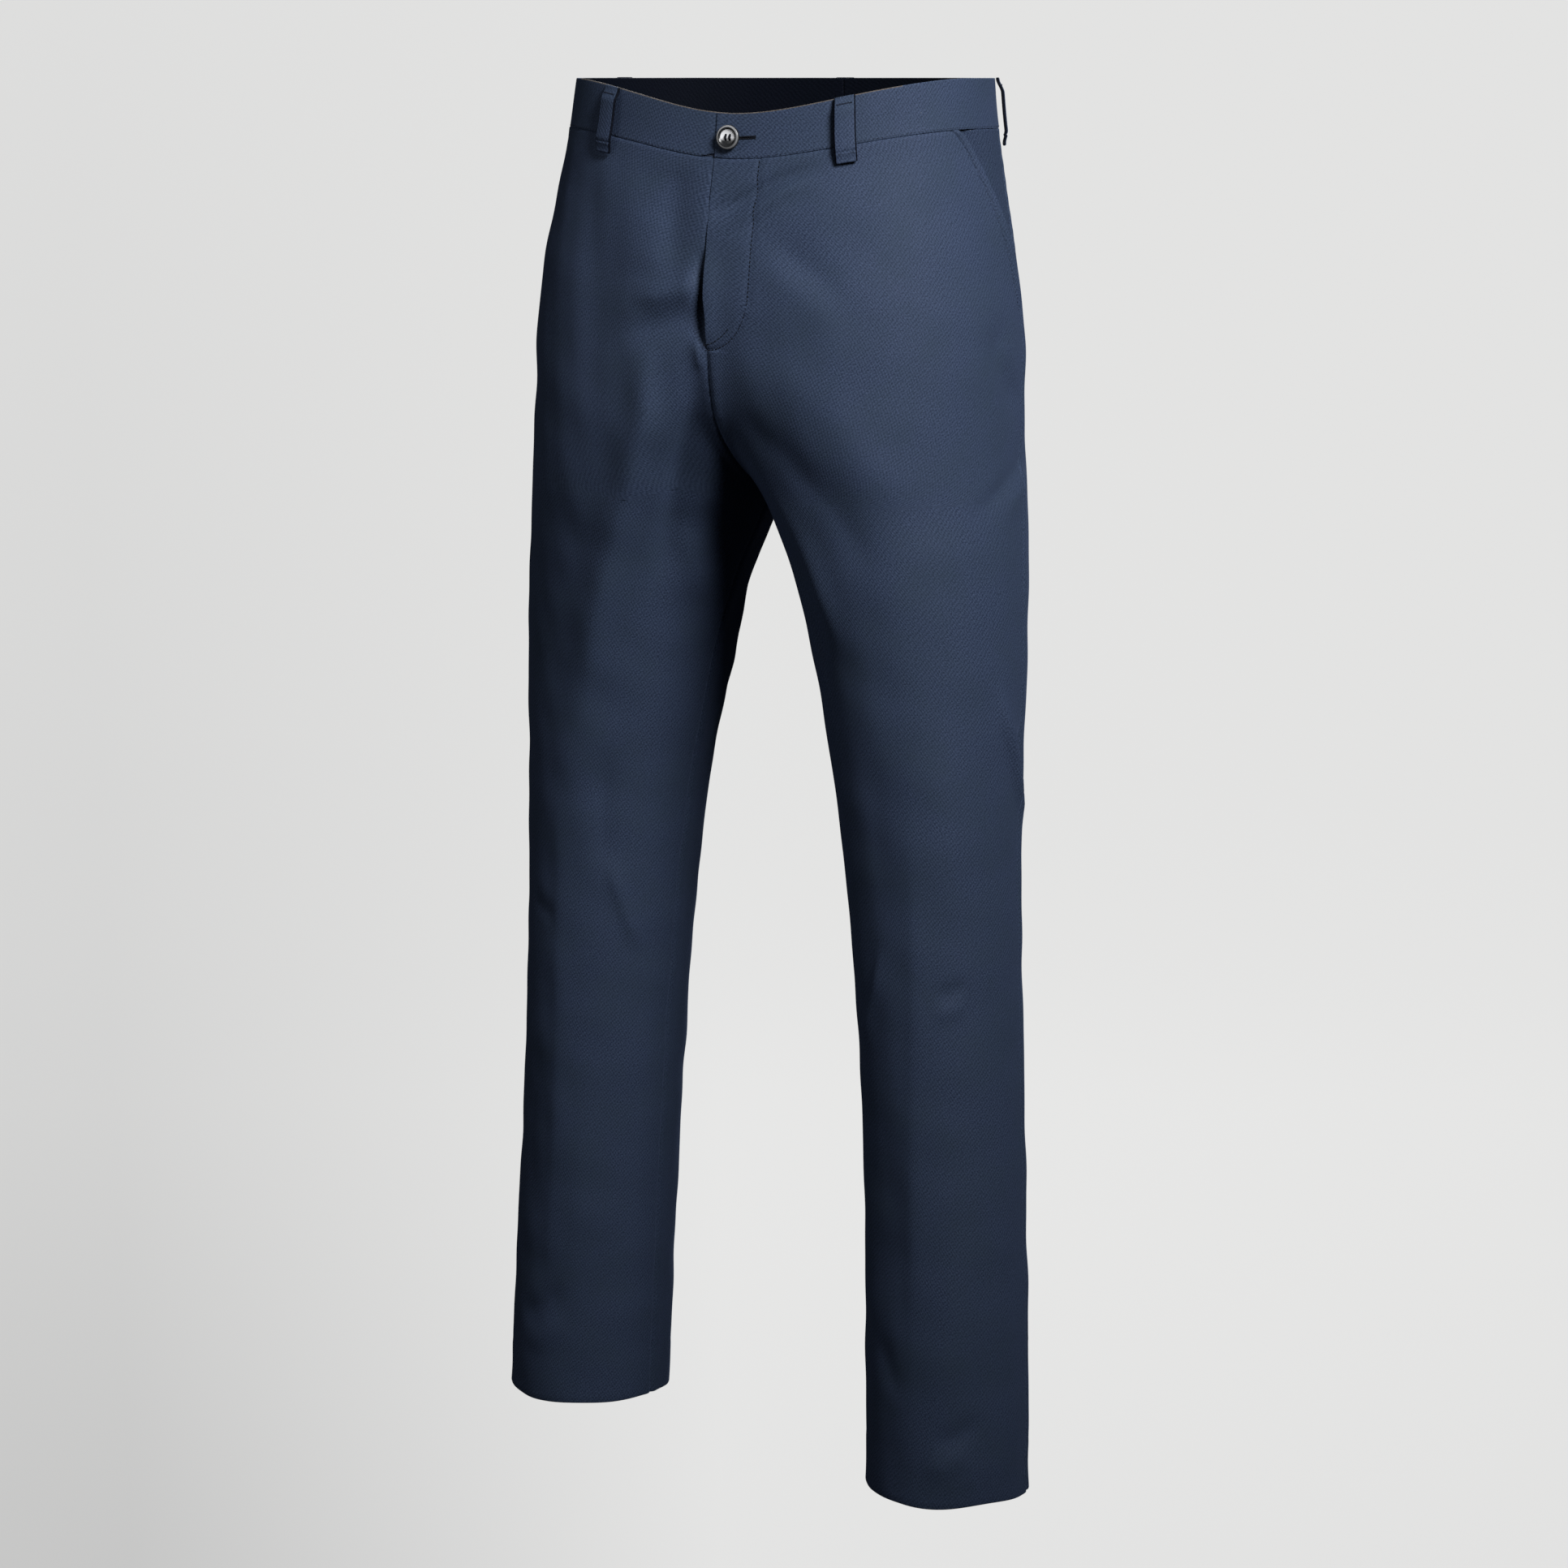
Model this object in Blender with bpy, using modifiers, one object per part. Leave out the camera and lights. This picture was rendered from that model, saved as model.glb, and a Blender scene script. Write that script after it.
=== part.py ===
"""Chino trousers in their worn, hollow form, modelled from the pieces they are sewn from.

Metres, +Z up. The origin is the centre of the waist, where the wearer holds the
trousers up. The front faces -Y and the wearer's left side is +X. Each leg half is one
surface through a ladder of level sections; the cut pieces are parts of that surface.
"""
import bpy
import bmesh
from math import acos, atan2, cos, pi, radians, sin
from mathutils import Matrix, Vector

# ---- driving dimensions ----
CLOTH_WALL = 0.0015
BAND_WALL = 0.0022
SEAM_GAP = 0.0003
LAYER_GAP = 0.0010

BAND_HEIGHT = 0.036
WAIST_DIP = 0.0242          # the front of the waist hangs this far below its sides
DIP_REACH = 0.220           # the dip dies out this far below the top edge
DIP_SPREAD = 2.4            # how quickly the dip rises towards the sides
DIP_AIM = radians(7)        # its lowest point lies a little to the left of the middle
CROTCH_DOWN = 0.280
HEM_DOWN = 1.034
HEM_SLOPE = 0.11            # drop of the hem per metre towards the heel
HEM_SLOPE_START = 0.85
CENTRE_SPAN = 0.020         # half width of cloth that spans the hollow at the centre seams
SPAN_FADE = 2.2             # how quickly that span grows below the waist
LEG_SPLIT = 0.50            # each leg piece is an upper and a lower solid, a seam gap apart here

SIDE_SEAM_BEHIND = radians(12)
SIDE_SEAM_BEHIND_LEG = radians(6)
SIDE_SEAM_SETTLE = 0.25     # the side seam eases to its place on the leg over this length
INSEAM_AHEAD = radians(4)
INSEAM_SETTLE = 0.12

FLY_LAP = 0.002             # how far the left front passes the centre line
FLY_LIFT = 0.0010           # how far the lapping left edge stands off
FLY_SINK = 0.0012           # how far the right front's edge sits in beneath it
FLY_LIFT_SPREAD = 0.016
FLY_BOTTOM = 0.168
FLY_FADE = 0.022
SHIELD_RIGHT = 0.024
SHIELD_LEFT = 0.034
SHIELD_BOTTOM = 0.178
BAND_UNDERLAP = 0.030
UNDERLAP_GAP = 0.0008
BAND_STEP = 0.012

POCKET_TOP_TURN = radians(30)   # slant pocket mouth at the waist seam, ahead of the side seam
POCKET_END = 0.150
POCKET_CURVE = 0.7
POCKET_OVERLAP = radians(8)
POCKET_RISE = radians(9)

LOOP_WIDTH = 0.0145
LOOP_WALL = 0.0015
LOOP_BOW = 0.0054
LOOP_END_GAP = 0.0009
LOOP_BOTTOM = 0.029
LOOP_END_SHARE = 0.22       # share of a loop's length that bends in to each sewn end
FRONT_LOOP_BEARING = radians(32)
SIDE_LOOP_BEARING = radians(108)

BUTTON_RADIUS = 0.0088
BUTTON_THICKNESS = 0.0032
BUTTON_ACROSS = 0.0095
BUTTON_DOWN = 0.0015
BUTTON_STANDOFF = 0.0012
BUTTON_HOLE_RADIUS = 0.0009
BUTTON_HOLE_PITCH = 0.0032
SHANK_RADIUS = 0.0013
BUTTONHOLE_LENGTH = 0.0185
BUTTONHOLE_HEIGHT = 0.0012

TORSO_ROWS = 14
LEG_ROWS = 14
TORSO_CROWDING = 1.7        # rows draw together towards the crotch
LEG_CROWDING = 1.35
SMALL = 0.0005
FRONT_PLACES = (0.0, 0.03, 0.07, 0.12, 0.2, 0.31, 0.43, 0.55, 0.67, 0.79, 0.9, 1.0)
BACK_COLUMNS = 10
BAND_PLACES = (0.0, 0.025, 0.05, 0.07, 0.09, 0.115, 0.15, 0.2, 0.26, 0.33, 0.4, 0.48, 0.56,
               0.64, 0.72, 0.8, 0.87, 0.94, 1.0)

# Level sections of the cut, the same for both legs.
# down: below the waist; half_breadth and half_depth: of one side's oval;
# square: 2 is an ellipse, more is boxier; sway: shift of the middle line to the left
CUT = (
    # down, half_breadth, half_depth, square, sway
    (-0.018, 0.1560, 0.1100, 2.30, 0.000),
    (0.018, 0.1595, 0.1130, 2.30, -0.001),
    (0.070, 0.1570, 0.1200, 2.25, -0.002),
    (0.120, 0.1530, 0.1240, 2.20, -0.002),
    (0.170, 0.1420, 0.1255, 2.15, -0.002),
    (0.210, 0.1255, 0.1240, 2.10, -0.002),
    (0.245, 0.1070, 0.1190, 2.05, -0.003),
    (0.280, 0.0950, 0.1120, 2.00, -0.003),
    (0.320, 0.0870, 0.1040, 2.00, -0.001),
    (0.370, 0.0800, 0.0960, 2.00, 0.000),
    (0.420, 0.0750, 0.0900, 2.00, 0.000),
    (0.520, 0.0660, 0.0820, 2.00, 0.000),
    (0.640, 0.0610, 0.0760, 2.00, 0.000),
    (0.780, 0.0595, 0.0740, 2.00, 0.000),
    (0.920, 0.0605, 0.0730, 2.00, 0.000),
    (1.034, 0.0610, 0.0730, 2.00, 0.000),
)

# Where each oval stands: out from the middle line, back of the waist centre,
# and how far the leg is turned out. The left leg is half a step ahead.
STANCE = {
    "left": (
        # down, out, back, turn (degrees)
        (-0.018, 0.000, 0.000, 0),
        (0.018, 0.001, 0.000, 0),
        (0.070, 0.013, -0.002, 0),
        (0.120, 0.026, -0.005, 0),
        (0.170, 0.043, -0.005, 0),
        (0.210, 0.060, -0.005, 0),
        (0.245, 0.080, -0.005, 0),
        (0.280, 0.095, -0.006, 0),
        (0.320, 0.105, -0.009, 1),
        (0.370, 0.113, -0.012, 2),
        (0.420, 0.119, -0.014, 3),
        (0.520, 0.128, -0.018, 4),
        (0.640, 0.137, -0.022, 5),
        (0.780, 0.145, -0.026, 5),
        (0.920, 0.150, -0.030, 5),
        (1.034, 0.152, -0.032, 5),
    ),
    "right": (
        # down, out, back, turn (degrees)
        (-0.018, 0.000, 0.000, 0),
        (0.018, 0.001, 0.000, 0),
        (0.070, 0.013, -0.002, 0),
        (0.120, 0.026, -0.005, 0),
        (0.170, 0.043, -0.005, 0),
        (0.210, 0.060, -0.005, 0),
        (0.245, 0.080, -0.005, 0),
        (0.280, 0.095, -0.005, 0),
        (0.320, 0.110, -0.001, 1),
        (0.370, 0.123, 0.002, 2),
        (0.420, 0.132, 0.006, 3),
        (0.520, 0.147, 0.014, 4),
        (0.640, 0.159, 0.020, 5),
        (0.780, 0.172, 0.028, 5),
        (0.920, 0.185, 0.036, 5),
        (1.034, 0.194, 0.042, 5),
    ),
}
SIGN = {"left": 1, "right": -1}


# ---- tables and small helpers ----
def slope(rows, index, column):
    """Slope of a table column at one row, from its neighbours."""
    low = max(index - 1, 0)
    high = min(index + 1, len(rows) - 1)
    return (rows[high][column] - rows[low][column]) / (rows[high][0] - rows[low][0])


def read_table(rows, down):
    """Every column but the first, smoothly between the rows."""
    index = 0
    while index < len(rows) - 2 and down > rows[index + 1][0]:
        index += 1
    step = rows[index + 1][0] - rows[index][0]
    t = (down - rows[index][0]) / step
    values = []
    for column in range(1, len(rows[0])):
        start = rows[index][column]
        end = rows[index + 1][column]
        leave = slope(rows, index, column) * step
        arrive = slope(rows, index + 1, column) * step
        value = (2 * t**3 - 3 * t**2 + 1) * start + (t**3 - 2 * t**2 + t) * leave
        value += (3 * t**2 - 2 * t**3) * end + (t**3 - t**2) * arrive
        values.append(value)
    return values


def smooth(value):
    """0 below 0, 1 above 1, eased between."""
    value = min(max(value, 0.0), 1.0)
    return value * value * (3 - 2 * value)


def signed_power(value, power):
    return abs(value) ** power * (1 if value >= 0 else -1)


# ---- the worn surface ----
def waist_dip(x, y, down):
    """How far a level line hangs down towards the front."""
    bearing = abs(atan2(x, -y) - DIP_AIM) * DIP_SPREAD
    if bearing > pi:
        return 0.0
    fade = min(max(1 - (down + BAND_HEIGHT / 2) / DIP_REACH, 0.0), 1.0)
    return WAIST_DIP * (1 + cos(bearing)) / 2 * fade


def spanned_depth(across, out, breadth, depth, square, span):
    """Depth of the oval at a distance from the middle, rounded off across the span."""
    place = (out - span) / breadth
    edge = depth * (1 - abs(place) ** square) ** (1 / square)
    lean = depth / breadth * signed_power(place, square - 1)
    lean *= (1 - abs(place) ** square) ** (1 / square - 1)
    return edge + lean * (across * across - span * span) / (2 * span)


def surface_point(side, down, angle):
    """Point of one side's surface: angle 0 is the inseam, 90 the front, 180 the outer side."""
    breadth, depth, square, sway = read_table(CUT, down)
    out, back, turn = read_table(STANCE[side], down)
    local_x = -breadth * signed_power(cos(angle), 2 / square)
    local_y = -depth * signed_power(sin(angle), 2 / square)
    across = out + local_x
    span = CENTRE_SPAN * min(1.0, SPAN_FADE * (1 - min(out / breadth, 1.0)))
    if down < CROTCH_DOWN and across < span and span > SMALL:
        rounded = spanned_depth(across, out, breadth, depth, square, span)
        local_y = -rounded if local_y < 0 else rounded
    lean = radians(turn)
    turned_x = local_x * cos(lean) - local_y * sin(lean)
    turned_y = local_x * sin(lean) + local_y * cos(lean)
    x = sway + SIGN[side] * (out + turned_x)
    y = back + turned_y
    hem = HEM_SLOPE * turned_y * smooth((down - HEM_SLOPE_START) / (HEM_DOWN - HEM_SLOPE_START))
    return Vector((x, y, -down - waist_dip(x, y, down) - hem))


def surface_normal(side, down, angle):
    """Outward direction of the surface."""
    turn_step = radians(0.4)
    down_step = 0.0008
    along = surface_point(side, down, angle + turn_step) - surface_point(side, down, angle - turn_step)
    low = min(down + down_step, HEM_DOWN)
    high = max(down - down_step, CUT[0][0])
    drop = surface_point(side, low, angle) - surface_point(side, high, angle)
    normal = drop.cross(along).normalized() * SIGN[side]
    return normal


def angle_across(side, down, across, at_back=False):
    """Angle at which the surface is this far out from the middle line."""
    breadth, depth, square, sway = read_table(CUT, down)
    out = read_table(STANCE[side], down)[0]
    place = max(-1.0, min(1.0, (out - across) / breadth))
    angle = acos(signed_power(place, square / 2))
    return 2 * pi - angle if at_back else angle


def across_at(side, down, angle):
    """Distance out from the middle line."""
    return SIGN[side] * (surface_point(side, down, angle).x - read_table(CUT, down)[3])


def seam_turn(down):
    """Half a seam gap, as an angle at the inseam and the side seam."""
    return SEAM_GAP / 2 / read_table(CUT, down)[1]


def inner_front(side, down):
    """Front edge at the middle: centre front seam, then inseam."""
    if down < CROTCH_DOWN:
        return angle_across(side, down, SEAM_GAP / 2)
    return INSEAM_AHEAD * smooth((down - CROTCH_DOWN) / INSEAM_SETTLE) + seam_turn(down)


def inner_back(side, down):
    """Back edge at the middle: seat seam, then inseam."""
    if down < CROTCH_DOWN:
        return angle_across(side, down, SEAM_GAP / 2, at_back=True)
    return 2 * pi + INSEAM_AHEAD * smooth((down - CROTCH_DOWN) / INSEAM_SETTLE) - seam_turn(down)


def side_seam(down):
    """Angle of the side seam."""
    settle = smooth((down - POCKET_END) / SIDE_SEAM_SETTLE)
    return pi + SIDE_SEAM_BEHIND + (SIDE_SEAM_BEHIND_LEG - SIDE_SEAM_BEHIND) * settle


def pocket_mouth(down):
    """Angle of the slant pocket's edge."""
    share = (down - BAND_HEIGHT / 2) / (POCKET_END - BAND_HEIGHT / 2)
    share = min(max(share, 0.0), 1.0)
    return side_seam(down) - POCKET_TOP_TURN * (1 - share**POCKET_CURVE)


def fly_lift(side, down, across):
    """Stand-off of the fronts near the fly: the left edge laps over the right one."""
    fade = 1 - smooth((down - FLY_BOTTOM + FLY_FADE) / FLY_FADE)
    height = FLY_LIFT if side == "left" else -FLY_SINK
    return height * (1 - smooth(across / FLY_LIFT_SPREAD)) * fade


# ---- making shells ----
def wall_points(side, down, angle, lift, wall):
    """Outer and inner point of a wall at one place on the surface."""
    point = surface_point(side, down, angle)
    normal = surface_normal(side, down, angle)
    thickness = wall
    sway = read_table(CUT, down)[3]
    if abs(point.x - sway) < SMALL and down <= CROTCH_DOWN + SMALL:
        flat = Vector((0.0, normal.y, normal.z)).normalized()
        thickness = wall / max(normal.dot(flat), 0.6)
        normal = flat
    outer = point + normal * lift
    return outer, outer - normal * thickness


def shell(name, outer_rows, inner_rows, material):
    """Closed wall between an outer and an inner grid of points."""
    mesh = bmesh.new()
    outer = [[mesh.verts.new(point) for point in row] for row in outer_rows]
    inner = [[mesh.verts.new(point) for point in row] for row in inner_rows]
    last_row = len(outer) - 1
    last_column = len(outer[0]) - 1
    for row in range(last_row):
        for column in range(last_column):
            mesh.faces.new((outer[row][column], outer[row + 1][column],
                            outer[row + 1][column + 1], outer[row][column + 1]))
            mesh.faces.new((inner[row][column], inner[row][column + 1],
                            inner[row + 1][column + 1], inner[row + 1][column]))
    for row in range(last_row):
        for column in (0, last_column):
            mesh.faces.new((outer[row][column], inner[row][column],
                            inner[row + 1][column], outer[row + 1][column]))
    for column in range(last_column):
        for row in (0, last_row):
            mesh.faces.new((outer[row][column], outer[row][column + 1],
                            inner[row][column + 1], inner[row][column]))
    bmesh.ops.triangulate(mesh, faces=mesh.faces[:])
    bmesh.ops.recalc_face_normals(mesh, faces=mesh.faces[:])
    data = bpy.data.meshes.new(name)
    mesh.to_mesh(data)
    mesh.free()
    data.materials.append(material)
    thing = bpy.data.objects.new(name, data)
    trousers.objects.link(thing)
    return thing


def panel(name, side, downs, places, start, end, lift, wall, material):
    """Wall of one cut piece, between two edges that run down the surface."""
    outer_rows = []
    inner_rows = []
    for down in downs:
        first = start(down)
        last = end(down)
        walls = []
        for place in places:
            angle = first + (last - first) * place
            walls.append(wall_points(side, down, angle, lift(down, angle), wall))
        outer_rows.append([outer for outer, inner in walls])
        inner_rows.append([inner for outer, inner in walls])
    return shell(name, outer_rows, inner_rows, material)


def even(count):
    return [index / count for index in range(count + 1)]


def panel_downs():
    """Heights of a leg piece's rows, closer together round the crotch: upper solid, lower solid."""
    top = BAND_HEIGHT / 2 + SEAM_GAP
    torso = [top + (CROTCH_DOWN - top) * (1 - (1 - step) ** TORSO_CROWDING) for step in even(TORSO_ROWS)]
    leg = [CROTCH_DOWN + (HEM_DOWN - CROTCH_DOWN) * step**LEG_CROWDING for step in even(LEG_ROWS)]
    rows = torso + leg[1:]
    clear = BAND_HEIGHT / 2
    upper = [row for row in rows if row < LEG_SPLIT - clear] + [LEG_SPLIT - SEAM_GAP / 2]
    lower = [LEG_SPLIT + SEAM_GAP / 2] + [row for row in rows if row > LEG_SPLIT + clear]
    return {"upper": upper, "lower": lower}


# ---- sewn pieces ----
def make_front(side, cloth):
    """Front leg piece, cut away at the slant pocket; the left one laps over the fly."""
    def start(down):
        if side == "left" and down < FLY_BOTTOM:
            fade = 1 - smooth((down - FLY_BOTTOM + 2 * FLY_FADE) / FLY_FADE)
            return angle_across(side, down, SEAM_GAP / 2 - (FLY_LAP + SEAM_GAP / 2) * fade)
        return inner_front(side, down)

    def end(down):
        return pocket_mouth(down) - seam_turn(down)

    def lift(down, angle):
        if down > FLY_BOTTOM:
            return 0.0
        return fly_lift(side, down, across_at(side, down, angle))

    for part, downs in panel_downs().items():
        panel("front_" + side + "_" + part, side, downs, FRONT_PLACES, start, end, lift, CLOTH_WALL,
              cloth)


def make_back(side, cloth):
    """Back leg piece, from the side seam round to the seat seam and inseam."""
    def start(down):
        return side_seam(down) + seam_turn(down)

    def end(down):
        return inner_back(side, down)

    for part, downs in panel_downs().items():
        panel("back_" + side + "_" + part, side, downs, even(BACK_COLUMNS), start, end,
              lambda down, angle: 0.0, CLOTH_WALL, cloth)


def make_pocket_facing(side, cloth):
    """Facing that shows behind the slant pocket's edge."""
    top = BAND_HEIGHT / 2 + SEAM_GAP
    sunk = -(CLOTH_WALL + LAYER_GAP)

    def start(down):
        return pocket_mouth(down) - POCKET_OVERLAP

    def end(down):
        return side_seam(down) - seam_turn(down)

    def lift(down, angle):
        return sunk * (1 - smooth((angle - pocket_mouth(down)) / POCKET_RISE))

    downs = [top + (POCKET_END - top) * step for step in even(8)]
    panel("pocket_facing_" + side, side, downs, even(6), start, end, lift, CLOTH_WALL, cloth)


def make_fly_shield(cloth):
    """Underlap behind the fly, one strip across the centre line."""
    top = BAND_HEIGHT / 2 + SEAM_GAP
    downs = [top + (SHIELD_BOTTOM - top) * step for step in even(8)]
    columns = [-SHIELD_RIGHT, -SHIELD_RIGHT / 2, 0.0, SHIELD_LEFT / 3, SHIELD_LEFT * 2 / 3, SHIELD_LEFT]
    sunk = -(FLY_SINK + CLOTH_WALL + LAYER_GAP)
    outer_rows = []
    inner_rows = []
    for down in downs:
        walls = []
        for across in columns:
            side = "left" if across >= 0 else "right"
            angle = angle_across(side, down, abs(across))
            walls.append(wall_points(side, down, angle, sunk, CLOTH_WALL))
        outer_rows.append([outer for outer, inner in walls])
        inner_rows.append([inner for outer, inner in walls])
    return shell("fly_shield", outer_rows, inner_rows, cloth)


def make_waistband(side, cloth):
    """Half of the waistband. The left end laps over, the right end runs on beneath it."""
    downs = [-BAND_HEIGHT / 2, 0.0, BAND_HEIGHT / 2]
    front_end = -FLY_LAP if side == "left" else -BAND_UNDERLAP

    def start(down):
        return angle_across(side, down, front_end)

    def end(down):
        return angle_across(side, down, SEAM_GAP / 2, at_back=True)

    def lift(down, angle):
        if angle > pi:
            return 0.0
        across = across_at(side, down, angle)
        if side == "left":
            return fly_lift(side, down, across)
        sunk = fly_lift("left", down, -across) - BAND_WALL - UNDERLAP_GAP
        return sunk * (1 - smooth((across - FLY_LAP - SMALL) / BAND_STEP))

    return panel("waistband_" + side, side, downs, BAND_PLACES, start, end, lift, BAND_WALL, cloth)


def loop_profile(share):
    """Clearance of a belt loop's inner face along its length, 0 at the top."""
    rise = smooth(share / LOOP_END_SHARE) * smooth((1 - share) / LOOP_END_SHARE)
    return LOOP_END_GAP + (LOOP_BOW - LOOP_END_GAP) * rise


def make_belt_loop(name, edges, cloth):
    """Belt loop as a bowed strip. edges: three (side, angle function) pairs across its width."""
    outer_rows = []
    inner_rows = []
    top = -BAND_HEIGHT / 2 + SMALL
    for share in even(12):
        down = top + (LOOP_BOTTOM - top) * share
        outer_row = []
        inner_row = []
        for side, angle_at in edges:
            clearance = loop_profile(share)
            outer, inner = wall_points(side, down, angle_at(down), clearance + LOOP_WALL, LOOP_WALL)
            outer_row.append(outer)
            inner_row.append(inner)
        outer_rows.append(outer_row)
        inner_rows.append(inner_row)
    return shell(name, outer_rows, inner_rows, cloth)


def make_belt_loops(cloth):
    """Five loops: two in front, two behind the side seams, one at the centre back."""
    for place, bearing in (("front", FRONT_LOOP_BEARING), ("side", SIDE_LOOP_BEARING)):
        for side in ("left", "right"):
            middle = pi / 2 + bearing
            point = surface_point(side, 0.0, middle)
            ahead = surface_point(side, 0.0, middle + 0.02) - point
            half_turn = LOOP_WIDTH / 2 * 0.02 / ahead.length
            edges = [(side, lambda down, angle=middle + half_turn * step: angle) for step in (-1, 0, 1)]
            make_belt_loop("loop_" + place + "_" + side, edges, cloth)
    half = LOOP_WIDTH / 2
    edges = [
        ("right", lambda down: angle_across("right", down, half, at_back=True)),
        ("left", lambda down: angle_across("left", down, 0.0, at_back=True)),
        ("left", lambda down: angle_across("left", down, half, at_back=True)),
    ]
    make_belt_loop("loop_back", edges, cloth)


# ---- button ----
def button_frame():
    """Matrix whose z axis points out of the waistband where the button sits."""
    angle = angle_across("left", BUTTON_DOWN, BUTTON_ACROSS)
    point = surface_point("left", BUTTON_DOWN, angle)
    normal = surface_normal("left", BUTTON_DOWN, angle)
    lift = fly_lift("left", BUTTON_DOWN, BUTTON_ACROSS)
    side_way = Vector((0.0, 0.0, 1.0)).cross(normal).normalized()
    up_way = normal.cross(side_way).normalized()
    rotation = Matrix((side_way, up_way, normal)).transposed().to_4x4()
    return Matrix.Translation(point + normal * lift) @ rotation


def make_cylinder(name, radius, bottom, top, centre, collection, segments):
    """Cylinder along local z, from bottom to top."""
    mesh = bmesh.new()
    place = Matrix.Translation((centre[0], centre[1], (bottom + top) / 2))
    bmesh.ops.create_cone(mesh, cap_ends=True, segments=segments, radius1=radius, radius2=radius,
                          depth=top - bottom, matrix=place)
    data = bpy.data.meshes.new(name)
    mesh.to_mesh(data)
    mesh.free()
    thing = bpy.data.objects.new(name, data)
    collection.objects.link(thing)
    return thing


def mark_cutter(thing):
    thing.hide_render = True
    thing.display_type = "WIRE"


def cut(thing, cutter):
    """Cut one object out of another."""
    modifier = thing.modifiers.new("cut_" + cutter.name, "BOOLEAN")
    modifier.operation = "DIFFERENCE"
    modifier.solver = "EXACT"
    modifier.object = cutter


def make_button(plastic):
    """Dished four-hole button, turned from its profile."""
    radius = BUTTON_RADIUS
    high = BUTTON_THICKNESS
    # radius, height: from the axis over the face and rim to the back
    profile = (
        (0.0, high * 0.62),
        (radius * 0.60, high * 0.62),
        (radius * 0.74, high),
        (radius * 0.90, high),
        (radius, high * 0.66),
        (radius, high * 0.34),
        (radius * 0.80, 0.0),
        (0.0, 0.0),
    )
    data = bpy.data.meshes.new("button")
    points = [(across, 0.0, height) for across, height in profile]
    links = [(index, index + 1) for index in range(len(points) - 1)]
    data.from_pydata(points, links, [])
    thing = bpy.data.objects.new("button", data)
    trousers.objects.link(thing)
    turn = thing.modifiers.new("turned", "SCREW")
    turn.steps = 32
    turn.render_steps = 32
    turn.use_merge_vertices = True
    turn.merge_threshold = 0.00001
    turn.use_normal_calculate = True
    thing.matrix_world = button_frame() @ Matrix.Translation((0.0, 0.0, BUTTON_STANDOFF))
    half = BUTTON_HOLE_PITCH / 2
    for index, place in enumerate(((-half, -half), (half, -half), (half, half), (-half, half))):
        cutter = make_cylinder("button_hole_%d" % index, BUTTON_HOLE_RADIUS, -high, 2 * high,
                               place, cutters, 12)
        cutter.matrix_world = thing.matrix_world.copy()
        mark_cutter(cutter)
        cut(thing, cutter)
    thing.data.materials.append(plastic)
    return thing


def make_button_shank(thread):
    """Thread shank between the underlap and the button, through the buttonhole."""
    bottom = -(BAND_WALL + UNDERLAP_GAP) + SEAM_GAP
    top = BUTTON_STANDOFF - SEAM_GAP
    shank = make_cylinder("button_shank", SHANK_RADIUS, bottom, top, (0.0, 0.0), trousers, 16)
    shank.matrix_world = button_frame()
    shank.data.materials.append(thread)
    return shank


def cut_buttonhole(band):
    """Keyhole slot through the lapping end of the waistband."""
    reach = BAND_WALL * 3
    eye = make_cylinder("buttonhole_eye", SHANK_RADIUS + 2 * SEAM_GAP, -reach, reach, (0.0, 0.0),
                        cutters, 16)
    slit = bpy.data.objects.new("buttonhole_slit", bpy.data.meshes.new("buttonhole_slit"))
    mesh = bmesh.new()
    size = Matrix.Diagonal((BUTTONHOLE_LENGTH, BUTTONHOLE_HEIGHT, 2 * reach, 1.0))
    bmesh.ops.create_cube(mesh, size=1.0,
                          matrix=Matrix.Translation((BUTTONHOLE_LENGTH / 2, 0.0, 0.0)) @ size)
    mesh.to_mesh(slit.data)
    mesh.free()
    cutters.objects.link(slit)
    for cutter in (eye, slit):
        cutter.matrix_world = button_frame()
        mark_cutter(cutter)
        cut(band, cutter)


# ---- materials and assembly ----
def make_material(name, colour, roughness, metallic):
    material = bpy.data.materials.new(name)
    material.use_nodes = True
    shader = material.node_tree.nodes["Principled BSDF"]
    shader.inputs["Base Color"].default_value = (*colour, 1.0)
    shader.inputs["Roughness"].default_value = roughness
    shader.inputs["Metallic"].default_value = metallic
    material.diffuse_color = (*colour, 1.0)
    return material


def make_collection(name):
    collection = bpy.data.collections.new(name)
    bpy.context.scene.collection.children.link(collection)
    return collection


for leftover in list(bpy.data.objects):
    bpy.data.objects.remove(leftover)
trousers = make_collection("chino_trousers")
cutters = make_collection("cutters")

navy_twill = make_material("navy_twill", (0.024, 0.036, 0.072), 0.85, 0.0)
grey_button = make_material("grey_button", (0.22, 0.22, 0.22), 0.25, 0.0)
navy_thread = make_material("navy_thread", (0.012, 0.018, 0.036), 0.8, 0.0)

for wearer_side in ("left", "right"):
    make_front(wearer_side, navy_twill)
    make_back(wearer_side, navy_twill)
    make_pocket_facing(wearer_side, navy_twill)
make_fly_shield(navy_twill)
lapping_band = make_waistband("left", navy_twill)
make_waistband("right", navy_twill)
cut_buttonhole(lapping_band)
make_belt_loops(navy_twill)
make_button(grey_button)
make_button_shank(navy_thread)
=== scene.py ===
import bpy
import numpy as np
from math import cos, pi, radians, sin
from mathutils import Matrix, Vector


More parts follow.
